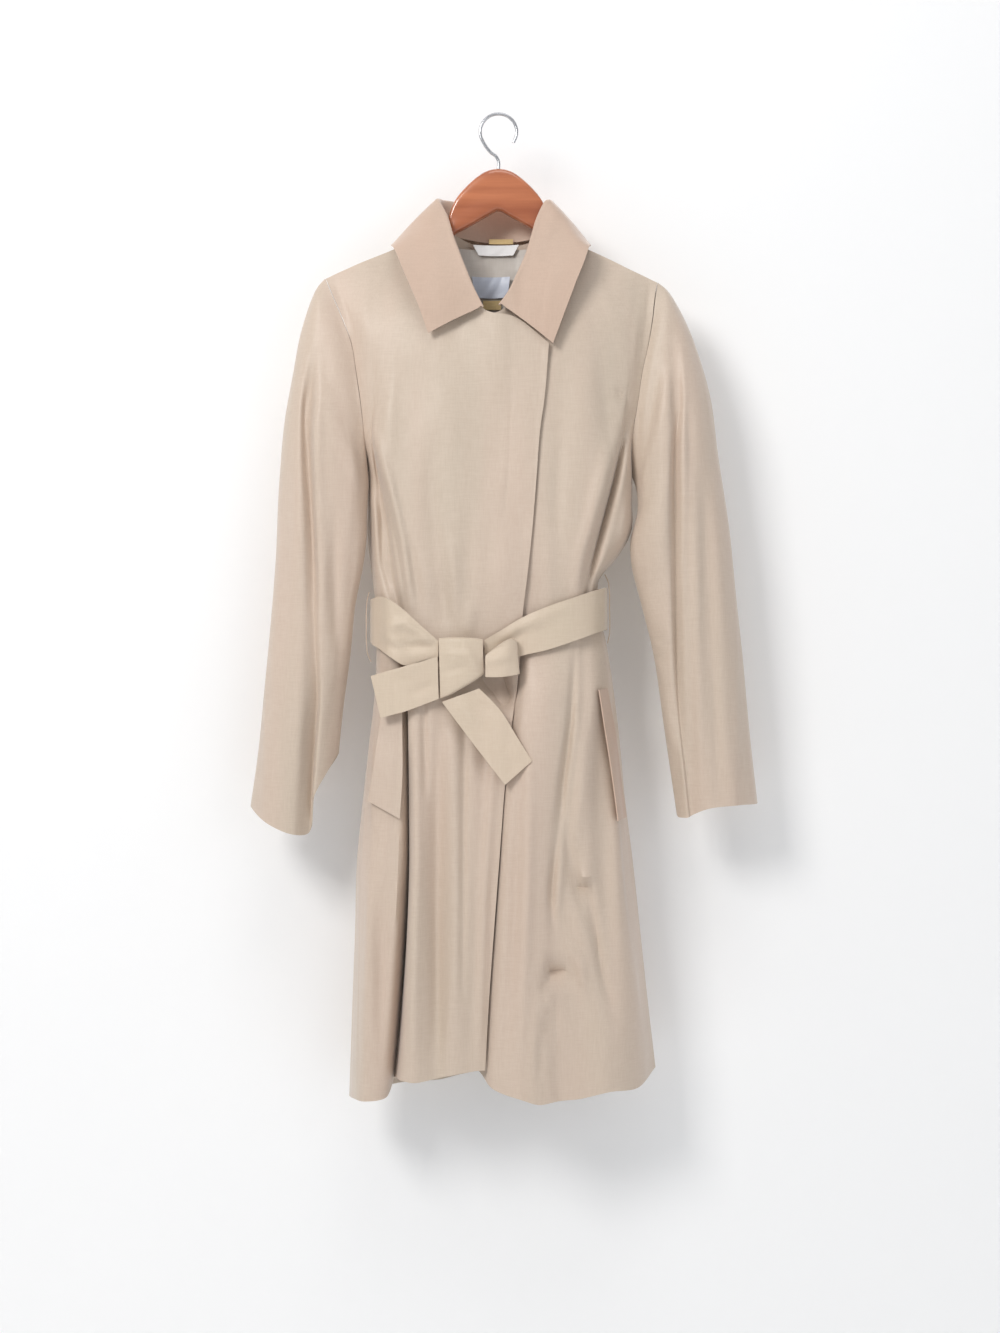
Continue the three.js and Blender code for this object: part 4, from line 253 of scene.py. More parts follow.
BACK_PLEATS = [
  { "f": 0.15, "wide": 0.05, "chest": 0, "waist": -5, "hem": 9 },
  { "f": 0.29, "wide": 0.05, "chest": -2, "waist": -9, "hem": -12 },
  { "f": 0.43, "wide": 0.06, "chest": 1, "waist": 3, "hem": 9 },
  { "f": 0.57, "wide": 0.05, "chest": -1, "waist": -8, "hem": -10 },
  { "f": 0.71, "wide": 0.06, "chest": 1, "waist": 4, "hem": 8 },
  { "f": 0.85, "wide": 0.05, "chest": -2, "waist": -8, "hem": -9 },
]
LEVELS = [-445, -476.6, -505, -534.1, -556, -578, -605, -635, -660.6, -688, -718.1, -752, -787.1, -856.1, -936.6, -1017.1]

FRONT_R_RAILS = list(FRONT_R_TOP); FRONT_L_RAILS = list(FRONT_L_TOP)
ARMHOLE_BOTTOM = -413.3
HALF = 0.15
CLOTH, COLLAR_CLOTH, BELT_CLOTH = 1.2, 1.8, 1.8
A = np.array
def lerp(a, b, t): return a + (b - a) * t
def clamp(v, a, b): return max(a, min(b, v))
def unit(v): v = A(v, float); return v / (np.linalg.norm(v) or 1)
def through(ks, vs, u):
    vs = A(vs, float); n = len(ks); i = 0
    while i < n - 2 and u > ks[i + 1]: i += 1
    h = ks[i + 1] - ks[i]; t = clamp((u - ks[i]) / h, -0.5, 1.5)
    def slope(j):
        if j <= 0: return (vs[1] - vs[0]) / (ks[1] - ks[0])
        if j >= n - 1: return (vs[-1] - vs[-2]) / (ks[-1] - ks[-2])
        d0 = (vs[j] - vs[j - 1]) / (ks[j] - ks[j - 1]); d1 = (vs[j + 1] - vs[j]) / (ks[j + 1] - ks[j])
        s = np.where(np.abs(d0 + d1) < 1e-12, 1, d0 + d1)
        return np.where(d0 * d1 <= 0, 0, 2 * d0 * d1 / s)
    m0, m1 = slope(i), slope(i + 1); t2, t3 = t * t, t ** 3
    return (2*t3 - 3*t2 + 1) * vs[i] + (t3 - 2*t2 + t) * h * m0 + (-2*t3 + 3*t2) * vs[i + 1] + (t3 - t2) * h * m1

# the coarse grid of a front, then the back
def panel(rails, top, sections, hem, armhole):
    tip = armhole[0]["z"]; cols = []
    for n in rails:
        ks, vs = [-top[n][2]], [[top[n][0], top[n][1]]]
        for s in sections:
            if -s["z"] > ks[0] + 8: ks.append(-s["z"]); vs.append(s[n])
        if -hem[n][2] > ks[-1] + 15: ks.append(-hem[n][2]); vs.append([hem[n][0], hem[n][1]])
        up = [lerp(top[n][2], ARMHOLE_BOTTOM, (s["z"] - tip) / (ARMHOLE_BOTTOM - tip)) for s in armhole]
        cols.append([[*through(ks, vs, -z), z] for z in up + LEVELS + [hem[n][2]]])
    return np.swapaxes(A(cols), 0, 1)
def sew(g, col, armhole, face):
    for k, s in enumerate(armhole):
        g[k, col] = [s["x"], 0 if k == 0 else (s["yf"] if face < 0 else s["yb"]), s["z"]]
    g[:, col, 1] += face * HALF
fr = panel(FRONT_R_RAILS, FRONT_R_TOP, FRONT_R_SECTIONS, FRONT_R_HEM, ARMHOLE_R); sew(fr, 0, ARMHOLE_R, -1); fr[0, :9, 1] = -HALF
fl = panel(FRONT_L_RAILS, FRONT_L_TOP, FRONT_L_SECTIONS, FRONT_L_HEM, ARMHOLE_L); sew(fl, -1, ARMHOLE_L, -1); fl[0, 4:, 1] = -HALF
def back_point(f, z, L, R):
    deep = through([130, 265, 413, 560, 620, 800, 1120], [[38], [35], [37], [36], [36], [44], [50]], -z)[0]
    side = lerp(L[1], R[1], f)
    y = side + (deep - side) * math.sin(math.pi * clamp(f, 0, 1)) ** 0.45 if 0 < f < 1 else side
    for p in BACK_PLEATS:
        y += through([260, 420, 590, 1120], [[0], [p["chest"]], [p["waist"]], [p["hem"]]], -z)[0] * math.exp(-(((f - p["f"]) / p["wide"]) ** 2))
    return [lerp(L[0], R[0], f), y, z]
rows = []
for r in range(len(fr)):
    up = r < len(ARMHOLE_R)
    L = [ARMHOLE_R[r]["x"], ARMHOLE_R[r]["yb"], ARMHOLE_R[r]["z"]] if up else fr[r, 0] + [0, HALF, 0]
    R = [ARMHOLE_L[r]["x"], ARMHOLE_L[r]["yb"], ARMHOLE_L[r]["z"]] if up else fl[r, -1] + [0, HALF, 0]
    row = []
    for c in BACK_TOP:
        t = (ARMHOLE_R[r]["z"] - ARMHOLE_R[0]["z"]) / (ARMHOLE_BOTTOM - ARMHOLE_R[0]["z"]) if up else 1
        z = lerp(c["z"], ARMHOLE_BOTTOM, t) if up else (lerp(L[2], R[2], c["f"]) + 6 * math.sin(math.pi * c["f"]) if r == len(fr) - 1 else L[2])
        low = back_point(c["f"], z, L, R)
        if up and t < 1:
            k = clamp((c["z"] - z) / 130, 0, 1) ** 0.6
            x0, w = BACK_TOP[0]["x"], BACK_TOP[-1]["x"] - BACK_TOP[0]["x"]
            low = [lerp(L[0], R[0], lerp((c["x"] - x0) / w, c["f"], t ** 0.8)), lerp(c["y"], low[1], k), z]
        row.append(low)
    rows.append(row)
bk = A(rows, float)
for col, arm in ((0, ARMHOLE_R), (-1, ARMHOLE_L)):
    for k, s in enumerate(arm): bk[k, col] = [s["x"], 0 if k == 0 else s["yb"], s["z"]]
    bk[:, col, 1] += HALF
for i, c in enumerate(BACK_TOP):
    if abs(c["y"]) < 1: bk[0, i, 1] = HALF

EVEN = [0, 0.05, 0.19, 0.39, 0.61, 0.81, 0.95, 1]
def sleeve(arm, table, drop, sign):
    off = lambda k: 1.0 if k else 0.6
    first = [[s["x"] + sign * off(k), 0 if k == 0 else s["yf"], s["z"] - (2.0 if k == 7 else 0)] for k, s in enumerate(arm)]
    backs = [[s["x"] + sign * off(k), s["yb"], s["z"]] for k, s in enumerate(arm)]
    rings = [first + backs[1:7][::-1]]
    for ri, row in enumerate(table):
        v = row["fold"]; last = ri == len(table) - 1
        folded = [0, .3*v, .75*v, v, v + .2*(1-v), v + .6*(1-v), v + .92*(1-v), 1]; ring = []
        for k in range(8):
            t = lerp(EVEN[k], folded[k], row["follow"]); p = lerp(A(row["outer"], float), A(row["inner"], float), t)
            p[1] -= row["front"] * math.sqrt(max(0, 4 * t * (1 - t)))
            if k == 3: p[1] += row["foldDeep"] * row["follow"]
            if last and 0 < k < 7: p[2] -= drop["f%d" % k]
            ring.append(p)
        for k in range(6, 0, -1):
            t = EVEN[k]; p = lerp(A(row["outer"], float), A(row["inner"], float), t)
            p[1] += row["back"] * math.sqrt(4 * t * (1 - t))
            if last: p[2] -= drop["b%d" % k]
            ring.append(p)
        rings.append(ring)
    return A(rings, float)

# smooth refinement of a grid along one axis, through its own points
def refine(g, n, axis=0, closed=False):
    g = np.swapaxes(g, 0, 1) if axis == 1 else g
    if closed: g = np.concatenate([g[-1:], g, g[:2]], 0)
    else: g = np.concatenate([2 * g[:1] - g[1:2], g, 2 * g[-1:] - g[-2:-1]], 0)
    out = []
    for i in range(1, len(g) - 2):
        p0, p1, p2, p3 = g[i-1], g[i], g[i+1], g[i+2]
        d = lambda a, b: np.maximum(np.sqrt(np.linalg.norm(a - b, axis=-1, keepdims=True)), 1e-2)
        a, b, c = d(p0, p1), d(p1, p2), d(p2, p3)
        m1 = b * ((p1 - p0) / a - (p2 - p0) / (a + b) + (p2 - p1) / b)
        m2 = b * ((p2 - p1) / b - (p3 - p1) / (b + c) + (p3 - p2) / c)
        for k in range(n):
            t = k / n; t2, t3 = t*t, t**3
            out.append((2*t3 - 3*t2 + 1) * p1 + (t3 - 2*t2 + t) * m1 + (-2*t3 + 3*t2) * p2 + (t3 - t2) * m2)
    if not closed: out.append(g[-2])
    o = A(out)
    return np.swapaxes(o, 0, 1) if axis == 1 else o

DEEPER = 1.25
# creases: soft troughs (-) and ridges (+) laid along lines, in the plane of the front (x, z)
def crease(g, table, face=-1, keep=None):
    x, z = g[..., 0], g[..., 2]; total = np.zeros(x.shape)
    for pts, wide, deep in table:
        best = np.full(x.shape, 1e9); amp = np.zeros(x.shape); n = len(pts) - 1
        for i in range(n):
            (ax, az), (bx, bz) = pts[i], pts[i+1]
            ll = (bx-ax)**2 + (bz-az)**2; t = np.clip(((x-ax)*(bx-ax) + (z-az)*(bz-az)) / ll, 0, 1)
            dd = np.hypot(x - ax - t*(bx-ax), z - az - t*(bz-az)); u = (i + t) / n
            near = dd < best; best = np.where(near, dd, best); amp = np.where(near, np.sin(np.pi * np.clip(u, .02, .98)) ** 0.6, amp)
        total += DEEPER * deep * amp * np.exp(-(best / wide) ** 2)
    if keep is not None: total *= keep
    g = g.copy(); g[..., 1] += face * total
    return g

def normals(g, around):
    e = np.pad(g, ((1, 1), (0, 0), (0, 0)), mode="edge"); dr = e[2:] - e[:-2]
    if around: dc = np.roll(g, -1, 1) - np.roll(g, 1, 1)
    else: e = np.pad(g, ((0, 0), (1, 1), (0, 0)), mode="edge"); dc = e[:, 2:] - e[:, :-2]
    n = np.cross(dr, dc); return n / np.maximum(np.linalg.norm(n, axis=-1, keepdims=True), 1e-9)
def shell(name, g, thick, nodes, around=False, mat=None):
    R, C = g.shape[:2]; n = normals(g, around)
    v = np.concatenate([(g + n * thick / 2).reshape(-1, 3), (g - n * thick / 2).reshape(-1, 3)]) / 1000
    idx = np.arange(R * C).reshape(R, C); S = R * C; F = []
    nx = np.roll(idx, -1, 1) if around else idx[:, 1:]; cu = idx if around else idx[:, :-1]
    a, b, c, d = cu[:-1].ravel(), cu[1:].ravel(), nx[1:].ravel(), nx[:-1].ravel()
    F += np.stack([a, b, c, d], 1).tolist(); F += np.stack([a + S, d + S, c + S, b + S], 1).tolist()
    t0, t1 = cu[0], nx[0]; F += np.stack([t0, t1, t1 + S, t0 + S], 1).tolist()
    t0, t1 = cu[-1], nx[-1]; F += np.stack([t0, t0 + S, t1 + S, t1], 1).tolist()
    if not around:
        s0, s1 = idx[:-1, 0], idx[1:, 0]; F += np.stack([s0, s0 + S, s1 + S, s1], 1).tolist()
        s0, s1 = idx[:-1, -1], idx[1:, -1]; F += np.stack([s0, s1, s1 + S, s0 + S], 1).tolist()
    return mesh(name, v, F, nodes, mat)
def mesh(name, v, F, nodes, mat):
    me = bpy.data.meshes.new(name); me.from_pydata([tuple(p) for p in v], [], F); me.validate(); me.update()
    import bmesh
    bm = bmesh.new(); bm.from_mesh(me); bmesh.ops.recalc_face_normals(bm, faces=bm.faces); bm.to_mesh(me); bm.free()
    for p in me.polygons: p.use_smooth = True
    ob = bpy.data.objects.new(name, me); bpy.context.scene.collection.objects.link(ob)
    try: me.set_sharp_from_angle(angle=math.radians(55))
    except Exception: pass
    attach(ob, "root")
    if nodes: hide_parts(*nodes)
    ob.data.materials.append(mat)
    return ob

# ---- materials ----
def lin(r, g, b):
    f = lambda c: (c / 255 / 12.92) if c <= 10 else ((c / 255 + 0.055) / 1.055) ** 2.4
    return (f(r), f(g), f(b), 1)
def cloth_mat(name, c1, c2, c3, rough=0.55, sheen=0.35, bump=0.12, crinkle=0.0, weave=2200.0):
    m = bpy.data.materials.new(name); m.use_nodes = True; N, K = m.node_tree.nodes, m.node_tree.links
    b = N["Principled BSDF"]; b.inputs["Roughness"].default_value = rough
    b.inputs["Sheen Weight"].default_value = sheen; b.inputs["Sheen Roughness"].default_value = 0.45
    b.inputs["Specular IOR Level"].default_value = 0.35
    tc = N.new("ShaderNodeTexCoord")
    mp = N.new("ShaderNodeMapping"); mp.inputs["Scale"].default_value = (9, 7, 1.3); K.new(tc.outputs["Object"], mp.inputs[0])
    n1 = N.new("ShaderNodeTexNoise"); n1.inputs["Scale"].default_value = 1.0; n1.inputs["Detail"].default_value = 3; K.new(mp.outputs[0], n1.inputs["Vector"])
    r1 = N.new("ShaderNodeValToRGB"); r1.color_ramp.elements[0].position = 0.38; r1.color_ramp.elements[0].color = c1
    r1.color_ramp.elements[1].position = 0.64; r1.color_ramp.elements[1].color = c2; K.new(n1.outputs["Fac"], r1.inputs[0])
    mp2 = N.new("ShaderNodeMapping"); mp2.inputs["Scale"].default_value = (900, 900, 60); K.new(tc.outputs["Object"], mp2.inputs[0])
    n2 = N.new("ShaderNodeTexNoise"); n2.inputs["Scale"].default_value = 1.0; n2.inputs["Detail"].default_value = 2; K.new(mp2.outputs[0], n2.inputs["Vector"])
    mp3 = N.new("ShaderNodeMapping"); mp3.inputs["Scale"].default_value = (70, 70, 1100); K.new(tc.outputs["Object"], mp3.inputs[0])
    n3 = N.new("ShaderNodeTexNoise"); n3.inputs["Scale"].default_value = 1.0; n3.inputs["Detail"].default_value = 2; K.new(mp3.outputs[0], n3.inputs["Vector"])
    ad = N.new("ShaderNodeMath"); ad.operation = "ADD"; K.new(n2.outputs["Fac"], ad.inputs[0]); K.new(n3.outputs["Fac"], ad.inputs[1])
    rw = N.new("ShaderNodeMapRange"); rw.inputs["From Min"].default_value = 0.7; rw.inputs["From Max"].default_value = 1.3; rw.inputs["To Min"].default_value = 0.0; rw.inputs["To Max"].default_value = 0.28; K.new(ad.outputs[0], rw.inputs["Value"])
    mx = N.new("ShaderNodeMixRGB"); K.new(rw.outputs[0], mx.inputs["Fac"]); K.new(r1.outputs[0], mx.inputs["Color1"]); mx.inputs["Color2"].default_value = c3
    K.new(mx.outputs[0], b.inputs["Base Color"])
    wv = N.new("ShaderNodeBump"); wv.inputs["Strength"].default_value = bump; wv.inputs["Distance"].default_value = 0.0004; K.new(ad.outputs[0], wv.inputs["Height"])
    n4 = N.new("ShaderNodeTexNoise"); n4.inputs["Scale"].default_value = 14 + 40 * crinkle; n4.inputs["Detail"].default_value = 2; K.new(tc.outputs["Object"], n4.inputs["Vector"])
    w2 = N.new("ShaderNodeBump"); w2.inputs["Strength"].default_value = 0.25 + crinkle; w2.inputs["Distance"].default_value = 0.004; K.new(n4.outputs["Fac"], w2.inputs["Height"]); K.new(wv.outputs[0], w2.inputs["Normal"])
    mp5 = N.new("ShaderNodeMapping"); mp5.inputs["Scale"].default_value = (15, 14, 2.6); mp5.inputs["Rotation"].default_value = (0, 0.06, 0); K.new(tc.outputs["Object"], mp5.inputs[0])
    n5 = N.new("ShaderNodeTexNoise"); n5.inputs["Scale"].default_value = 1.0; n5.inputs["Detail"].default_value = 1.5; n5.inputs["Distortion"].default_value = 0.6; K.new(mp5.outputs[0], n5.inputs["Vector"])
    r5 = N.new("ShaderNodeMapRange"); r5.inputs["From Min"].default_value = 0.40; r5.inputs["From Max"].default_value = 0.60; r5.interpolation_type = "SMOOTHSTEP"; K.new(n5.outputs["Fac"], r5.inputs["Value"])
    w5 = N.new("ShaderNodeBump"); w5.inputs["Strength"].default_value = 0.5; w5.inputs["Distance"].default_value = 0.0035; K.new(r5.outputs[0], w5.inputs["Height"]); K.new(w2.outputs[0], w5.inputs["Normal"])
    K.new(w5.outputs[0], b.inputs["Normal"])
    return m
COAT = cloth_mat("coat_cloth", lin(201, 180, 163), lin(193, 178, 160), lin(222, 208, 193), rough=0.46, sheen=0.3)
# a darker, browner copy of the coat cloth: painted shade, put on the collar and on the left pocket welt
COAT_CLOTH_PAINTED_SHADE = cloth_mat("collar_cloth", lin(198, 170, 151), lin(190, 167, 149), lin(214, 190, 172), rough=0.5, sheen=0.3)
BELT = cloth_mat("belt_cloth", lin(206, 187, 166), lin(197, 182, 160), lin(222, 208, 190), rough=0.5, sheen=0.3)
LINE = cloth_mat("lining_cloth", lin(207, 199, 190), lin(190, 182, 173), lin(220, 214, 208), rough=0.4, crinkle=0.5)
WHITE = cloth_mat("white_tape", lin(242, 242, 240), lin(232, 232, 232), lin(250, 250, 250), sheen=0.2)
SATIN = cloth_mat("satin_label", lin(176, 184, 200), lin(196, 202, 216), lin(214, 218, 228), rough=0.28, crinkle=0.2)
TAPE = cloth_mat("loop_tape", lin(222, 196, 140), lin(206, 178, 124), lin(234, 212, 164))
def wood_mat():
    m = bpy.data.materials.new("lacquered_wood"); m.use_nodes = True; N, K = m.node_tree.nodes, m.node_tree.links
    b = N["Principled BSDF"]; b.inputs["Roughness"].default_value = 0.32; b.inputs["Coat Weight"].default_value = 0.9; b.inputs["Coat Roughness"].default_value = 0.08
    tc = N.new("ShaderNodeTexCoord"); mp = N.new("ShaderNodeMapping"); mp.inputs["Scale"].default_value = (6, 60, 90); K.new(tc.outputs["Object"], mp.inputs[0])
    n = N.new("ShaderNodeTexNoise"); n.inputs["Scale"].default_value = 1; n.inputs["Detail"].default_value = 5; K.new(mp.outputs[0], n.inputs["Vector"])
    r = N.new("ShaderNodeValToRGB"); r.color_ramp.elements[0].position = 0.3; r.color_ramp.elements[0].color = lin(158, 84, 48); r.color_ramp.elements[1].position = 0.75; r.color_ramp.elements[1].color = lin(196, 118, 76)
    K.new(n.outputs["Fac"], r.inputs[0]); K.new(r.outputs[0], b.inputs["Base Color"])
    bp = N.new("ShaderNodeBump"); bp.inputs["Strength"].default_value = 0.05; bp.inputs["Distance"].default_value = 0.001; K.new(n.outputs["Fac"], bp.inputs["Height"]); K.new(bp.outputs[0], b.inputs["Normal"])
    return m
def metal_mat():
    m = bpy.data.materials.new("hook_metal"); m.use_nodes = True; N, K = m.node_tree.nodes, m.node_tree.links
    b = N["Principled BSDF"]; b.inputs["Metallic"].default_value = 1; b.inputs["Base Color"].default_value = lin(196, 197, 200)
    tc = N.new("ShaderNodeTexCoord"); n = N.new("ShaderNodeTexNoise"); n.inputs["Scale"].default_value = 240; K.new(tc.outputs["Object"], n.inputs["Vector"])
    mr = N.new("ShaderNodeMapRange"); mr.inputs["To Min"].default_value = 0.2; mr.inputs["To Max"].default_value = 0.34; K.new(n.outputs["Fac"], mr.inputs["Value"]); K.new(mr.outputs[0], b.inputs["Roughness"])
    return m
WOOD, METAL = wood_mat(), metal_mat()

# ---- the panels, finely, with their creases ----
def px(points, y=-45):
    """lines on the front given as x and z in millimetres"""
    return points
FR_CREASES = [
    ([(-23, -637), (15, -676)], 9, -13),
    ([(2, -631), (7, -685)], 7, -9),
    ([(-38, -671), (-41, -1010)], 5, -4),
    ([(-3, -694), (-16, -897), (-21, -1066)], 6, 4.5),
    ([(-84, -660), (-82, -784)], 5, -5),
    ([(-139, -671), (-143, -784)], 4, -4),
    ([(-143, -379), (-125, -448), (-116, -494), (-104, -572)], 4.5, -6),
    ([(-136, -378), (-117, -448), (-107, -494), (-97, -563)], 5, 4),
    ([(-145, -404), (-135, -463), (-132, -515), (-122, -559)], 4, -5),
    ([(-150, -412), (-141, -468), (-138, -525)], 4.5, 3.5),
    ([(-101, -716), (-101, -849), (-116, -1091)], 4.5, -12),
    ([(-92, -739), (-91, -863), (-97, -1091)], 6, 4),
    ([(-111, -750), (-113, -863), (-129, -1091)], 6, 4),
    ([(-68, -671), (-66, -852), (-70, -1077)], 9, -4.5),
    ([(-52, -694), (-46, -897), (-52, -1088)], 9, 3),
    ([(-21, -739), (-25, -931), (-32, -1077)], 12, -2.5),
    ([(-77, -412), (-70, -513), (-66, -577)], 9, -2.5),
    ([(-32, -446), (-34, -570)], 10, -2),
    ([(-52, -491), (-48, -577)], 6, 2),
    ([(-100, -491), (-88, -570)], 6, -3),
    ([(-173, -660), (-175, -784)], 5, -3),
    ([(-165, -807), (-172, -1010)], 8, -3.5),
    ([(-143, -874), (-154, -1077)], 8, 3),
    ([(-60, -520), (-62, -590)], 9, -3), ([(-30, -560), (-36, -600)], 8, 2.5), ([(10, -470), (2, -590)], 14, 2),
    ([(-96, -700), (-99, -860), (-96, -1090)], 7, 2.5), ([(-72, -720), (-73, -900), (-68, -1060)], 8, -3.5),
    ([(-50, -690), (-52, -800)], 9, 2), ([(-30, -700), (-36, -900), (-34, -1040)], 12, 1.8), ([(-110, -560), (-128, -450)], 4, 2),
    ([(-10, -690), (-16, -760)], 10, -3), ([(-120, -300), (-126, -400)], 9, 2), ([(-60, -300), (-50, -460)], 18, 2), ([(5, -300), (-2, -450)], 16, -1.6),
    ([(-150, -830), (-140, -1080)], 7, 2.5), ([(-128, -860), (-134, -1060)], 6, -2),
]
FL_CREASES = [
    ([(46, -993), (59, -977), (76, -975), (92, -993)], 5, -3.5),
    ([(60, -1016), (76, -1007)], 5, -3),
    ([(42, -1040), (60, -1032)], 4, -5),
    ([(76, -942), (92, -964), (96, -998)], 5, 6),
    ([(81, -872), (103, -883)], 5, -3.5),
    ([(83, -861), (105, -874)], 5, 6),
    ([(24, -739), (18, -897), (8, -1066)], 6, -4),
    ([(36, -716), (31, -897), (24, -1077)], 7, 4),
    ([(133, -660), (128, -739)], 5, -4),
    ([(147, -354), (125, -436), (105, -504), (95, -548)], 5, -7),
    ([(155, -360), (135, -436), (117, -504), (108, -559)], 6, 5),
    ([(128, -378), (110, -446), (94, -513)], 9, 3),
    ([(87, -609), (82, -693), (73, -762), (68, -821)], 5, -6),
    ([(68, -821), (59, -892), (63, -927)], 5, -5),
    ([(80, -871), (101, -880), (116, -975), (130, -1022)], 5, -6),
    ([(96, -694), (92, -773), (83, -852)], 8, 4),
    ([(46, -990), (58, -977), (82, -975)], 5, -6),
    ([(48, -1001), (60, -988), (83, -986)], 5, 4),
    ([(47, -1055), (45, -1088)], 6, -4),
    ([(114, -671), (110, -818), (121, -964)], 9, -3.5),
    ([(133, -716), (135, -897), (144, -1055)], 9, 3.5),
    ([(69, -367), (65, -559)], 9, -2),
    ([(92, -288), (90, -412)], 12, 1.8),
    ([(133, -320), (148, -324)], 5, -4),
    ([(128, -331), (146, -335)], 5, 2.5),
    ([(91, -620), (86, -700), (75, -790)], 6, 3), ([(73, -790), (68, -860), (62, -930)], 6, 4), ([(70, -800), (90, -880), (102, -940), (120, -1020)], 7, -4),
    ([(82, -880), (106, -890)], 7, -3), ([(84, -900), (100, -940), (112, -990)], 8, 5), ([(46, -1000), (60, -985), (86, -986)], 7, -4.5),
    ([(46, -1012), (58, -1003), (80, -1006)], 6, 3.5), ([(60, -1030), (70, -1026)], 6, -3), ([(44, -1050), (40, -1080)], 7, 3),
    ([(130, -720), (140, -900)], 9, 2.5), ([(118, -760), (124, -960)], 10, -2.5), ([(150, -900), (158, -1060)], 9, 3),
    ([(60, -300), (62, -470)], 14, -1.5), ([(100, -290), (104, -420)], 14, 2), ([(135, -318), (146, -322)], 5, 2), ([(132, -326), (144, -331)], 5, -2.5),
    ([(96, -480), (84, -560)], 8, 2), ([(60, -480), (56, -590)], 12, 1.8), ([(146, -440), (140, -500)], 5, 2),
]
BK_CREASES = [
    ([(-120, -640), (-126, -800), (-130, -1000)], 9, -4), ([(-60, -630), (-66, -760)], 8, 3), ([(-20, -640), (-24, -900)], 11, -4), ([(24, -630), (30, -820)], 9, 3.5),
    ([(70, -640), (78, -900), (84, -1060)], 10, -4), ([(112, -640), (126, -860)], 9, 3), ([(-80, -560), (-90, -460)], 9, -3), ([(-20, -565), (-16, -480)], 8, 3),
    ([(40, -565), (46, -450)], 10, -3), ([(90, -560), (100, -480)], 8, 2.5), ([(-110, -300), (-96, -400)], 14, 2.5), ([(120, -300), (104, -410)], 14, 2),
]
keep = lambda g, m: np.minimum(1, np.minimum(np.arange(g.shape[1])[None, :], (g.shape[1] - 1 - np.arange(g.shape[1]))[None, :]) / m)
FR = crease(refine(refine(fr, 6, 0), 9, 1), FR_CREASES); FR_K = None
FL0 = refine(refine(fl, 6, 0), 9, 1)
FL = crease(FL0, FL_CREASES, keep=np.clip((np.arange(FL0.shape[1]) - 30) / 10, 0, 1)[None, :] * np.clip((FL0.shape[1] - 1 - np.arange(FL0.shape[1])) / 6, 0, 1)[None, :])
BK0 = refine(refine(bk, 6, 0), 6, 1); BK = crease(BK0, BK_CREASES, face=1, keep=keep(BK0, 6))
o_back = shell("coat_back", BK, CLOTH, ["back"], mat=COAT)
o_fr = shell("coat_front_right", FR, CLOTH, ["front_right"], mat=COAT)
o_fl = shell("coat_front_left", FL, CLOTH, ["front_left"], mat=COAT)
SR_CREASES = [
    ([(-212, -281), (-215, -387), (-211, -472), (-207, -557)], 4, -4),
    ([(-203, -288), (-205, -389), (-201, -480)], 5, 3),
    ([(-241, -367), (-246, -559), (-255, -762)], 9, -2.5),
    ([(-185, -218), (-173, -265)], 5, -3),
    ([(-224, -615), (-231, -784)], 8, 3),
    ([(-267, -604), (-271, -784)], 6, -2.5),
    ([(-184, -446), (-187, -604)], 6, -2.5),
    ([(-214, -560), (-210, -700)], 6, 2), ([(-236, -300), (-246, -560), (-256, -780)], 10, -1.8), ([(-190, -470), (-182, -620)], 8, -2.5), ([(-170, -380), (-160, -430)], 8, 2), ([(-246, -640), (-252, -800)], 7, 2)]
SL_CREASES = [
    ([(198, -254), (200, -446), (205, -784)], 5, -4.5),
    ([(209, -271), (208, -513), (216, -773)], 5, 3.5),
    ([(232, -423), (238, -604), (252, -784)], 6, -3),
    ([(172, -614), (192, -623)], 4, -5),
    ([(171, -626), (191, -633)], 4, 3),
    ([(182, -254), (173, -356), (169, -446)], 7, -2.5),
    ([(254, -581), (270, -773)], 6, -2.5),
    ([(187, -671), (220, -784)], 7, 2.5),
    ([(222, -400), (226, -620), (232, -780)], 5, 3), ([(236, -430), (246, -640), (250, -790)], 6, -2.5), ([(252, -480), (262, -700), (268, -800)], 7, 2.5), ([(176, -600), (196, -612)], 5, -4), ([(178, -616), (192, -606)], 5, 3), ([(214, -330), (218, -420)], 6, -2), ([(188, -420), (180, -540)], 10, 2)]
def sleeve_fine(arm, table, drop, sign, lines):
    g = refine(refine(sleeve(arm, table, drop, sign), 9, 0), 8, 1, closed=True)
    C = g.shape[1]; front = np.zeros(C); n = C // 2
    front[:n] = np.sin(np.pi * np.arange(n) / n) ** 0.5; rows = np.clip(np.arange(g.shape[0]) / 8, 0, 1)[:, None]
    g1 = crease(g, lines, keep=rows * front[None, :]); bfront = np.zeros(C); bfront[n:] = np.sin(np.pi * np.arange(C - n) / (C - n)) ** 0.5
    return crease(g1, [([(x + 4, z) for x, z in p], w, d * 0.8) for p, w, d in lines], face=1, keep=rows * bfront[None, :])
o_sr = shell("coat_sleeve_right", sleeve_fine(ARMHOLE_R, SLEEVE_R, CUFF_DROP_R, -1, SR_CREASES), CLOTH, ["sleeve_right"], True, COAT)
o_sl = shell("coat_sleeve_left", sleeve_fine(ARMHOLE_L, SLEEVE_L, CUFF_DROP_L, 1, SL_CREASES), CLOTH, ["sleeve_left"], True, COAT)

# ---- collar ----
cr = []
for s in COLLAR:
    roll, edge, neck = A(s["roll"], float), A(s["edge"], float), A(s["neck"], float)
    out = unit([edge[0] - roll[0], edge[1] - roll[1], 0]); over = roll + out * 5.5 + [0, 0, -1]; top = roll + out * 2.6 + [0, 0, 1.2]
    away = unit([out[0] * 0.5, out[1] * 0.5 - 0.4 * (1 if edge[1] < 30 else -1), 0])
    cr.append([neck, lerp(neck, roll, 0.55), roll, top, over, lerp(over, edge, 0.5) + away * 1.5, edge])
cg = np.swapaxes(A(cr), 0, 1)
cg = refine(refine(cg, 8, 0), 8, 1)
o_col = shell("coat_collar", cg, COLLAR_CLOTH, ["collar"], mat=COAT_CLOTH_PAINTED_SHADE)

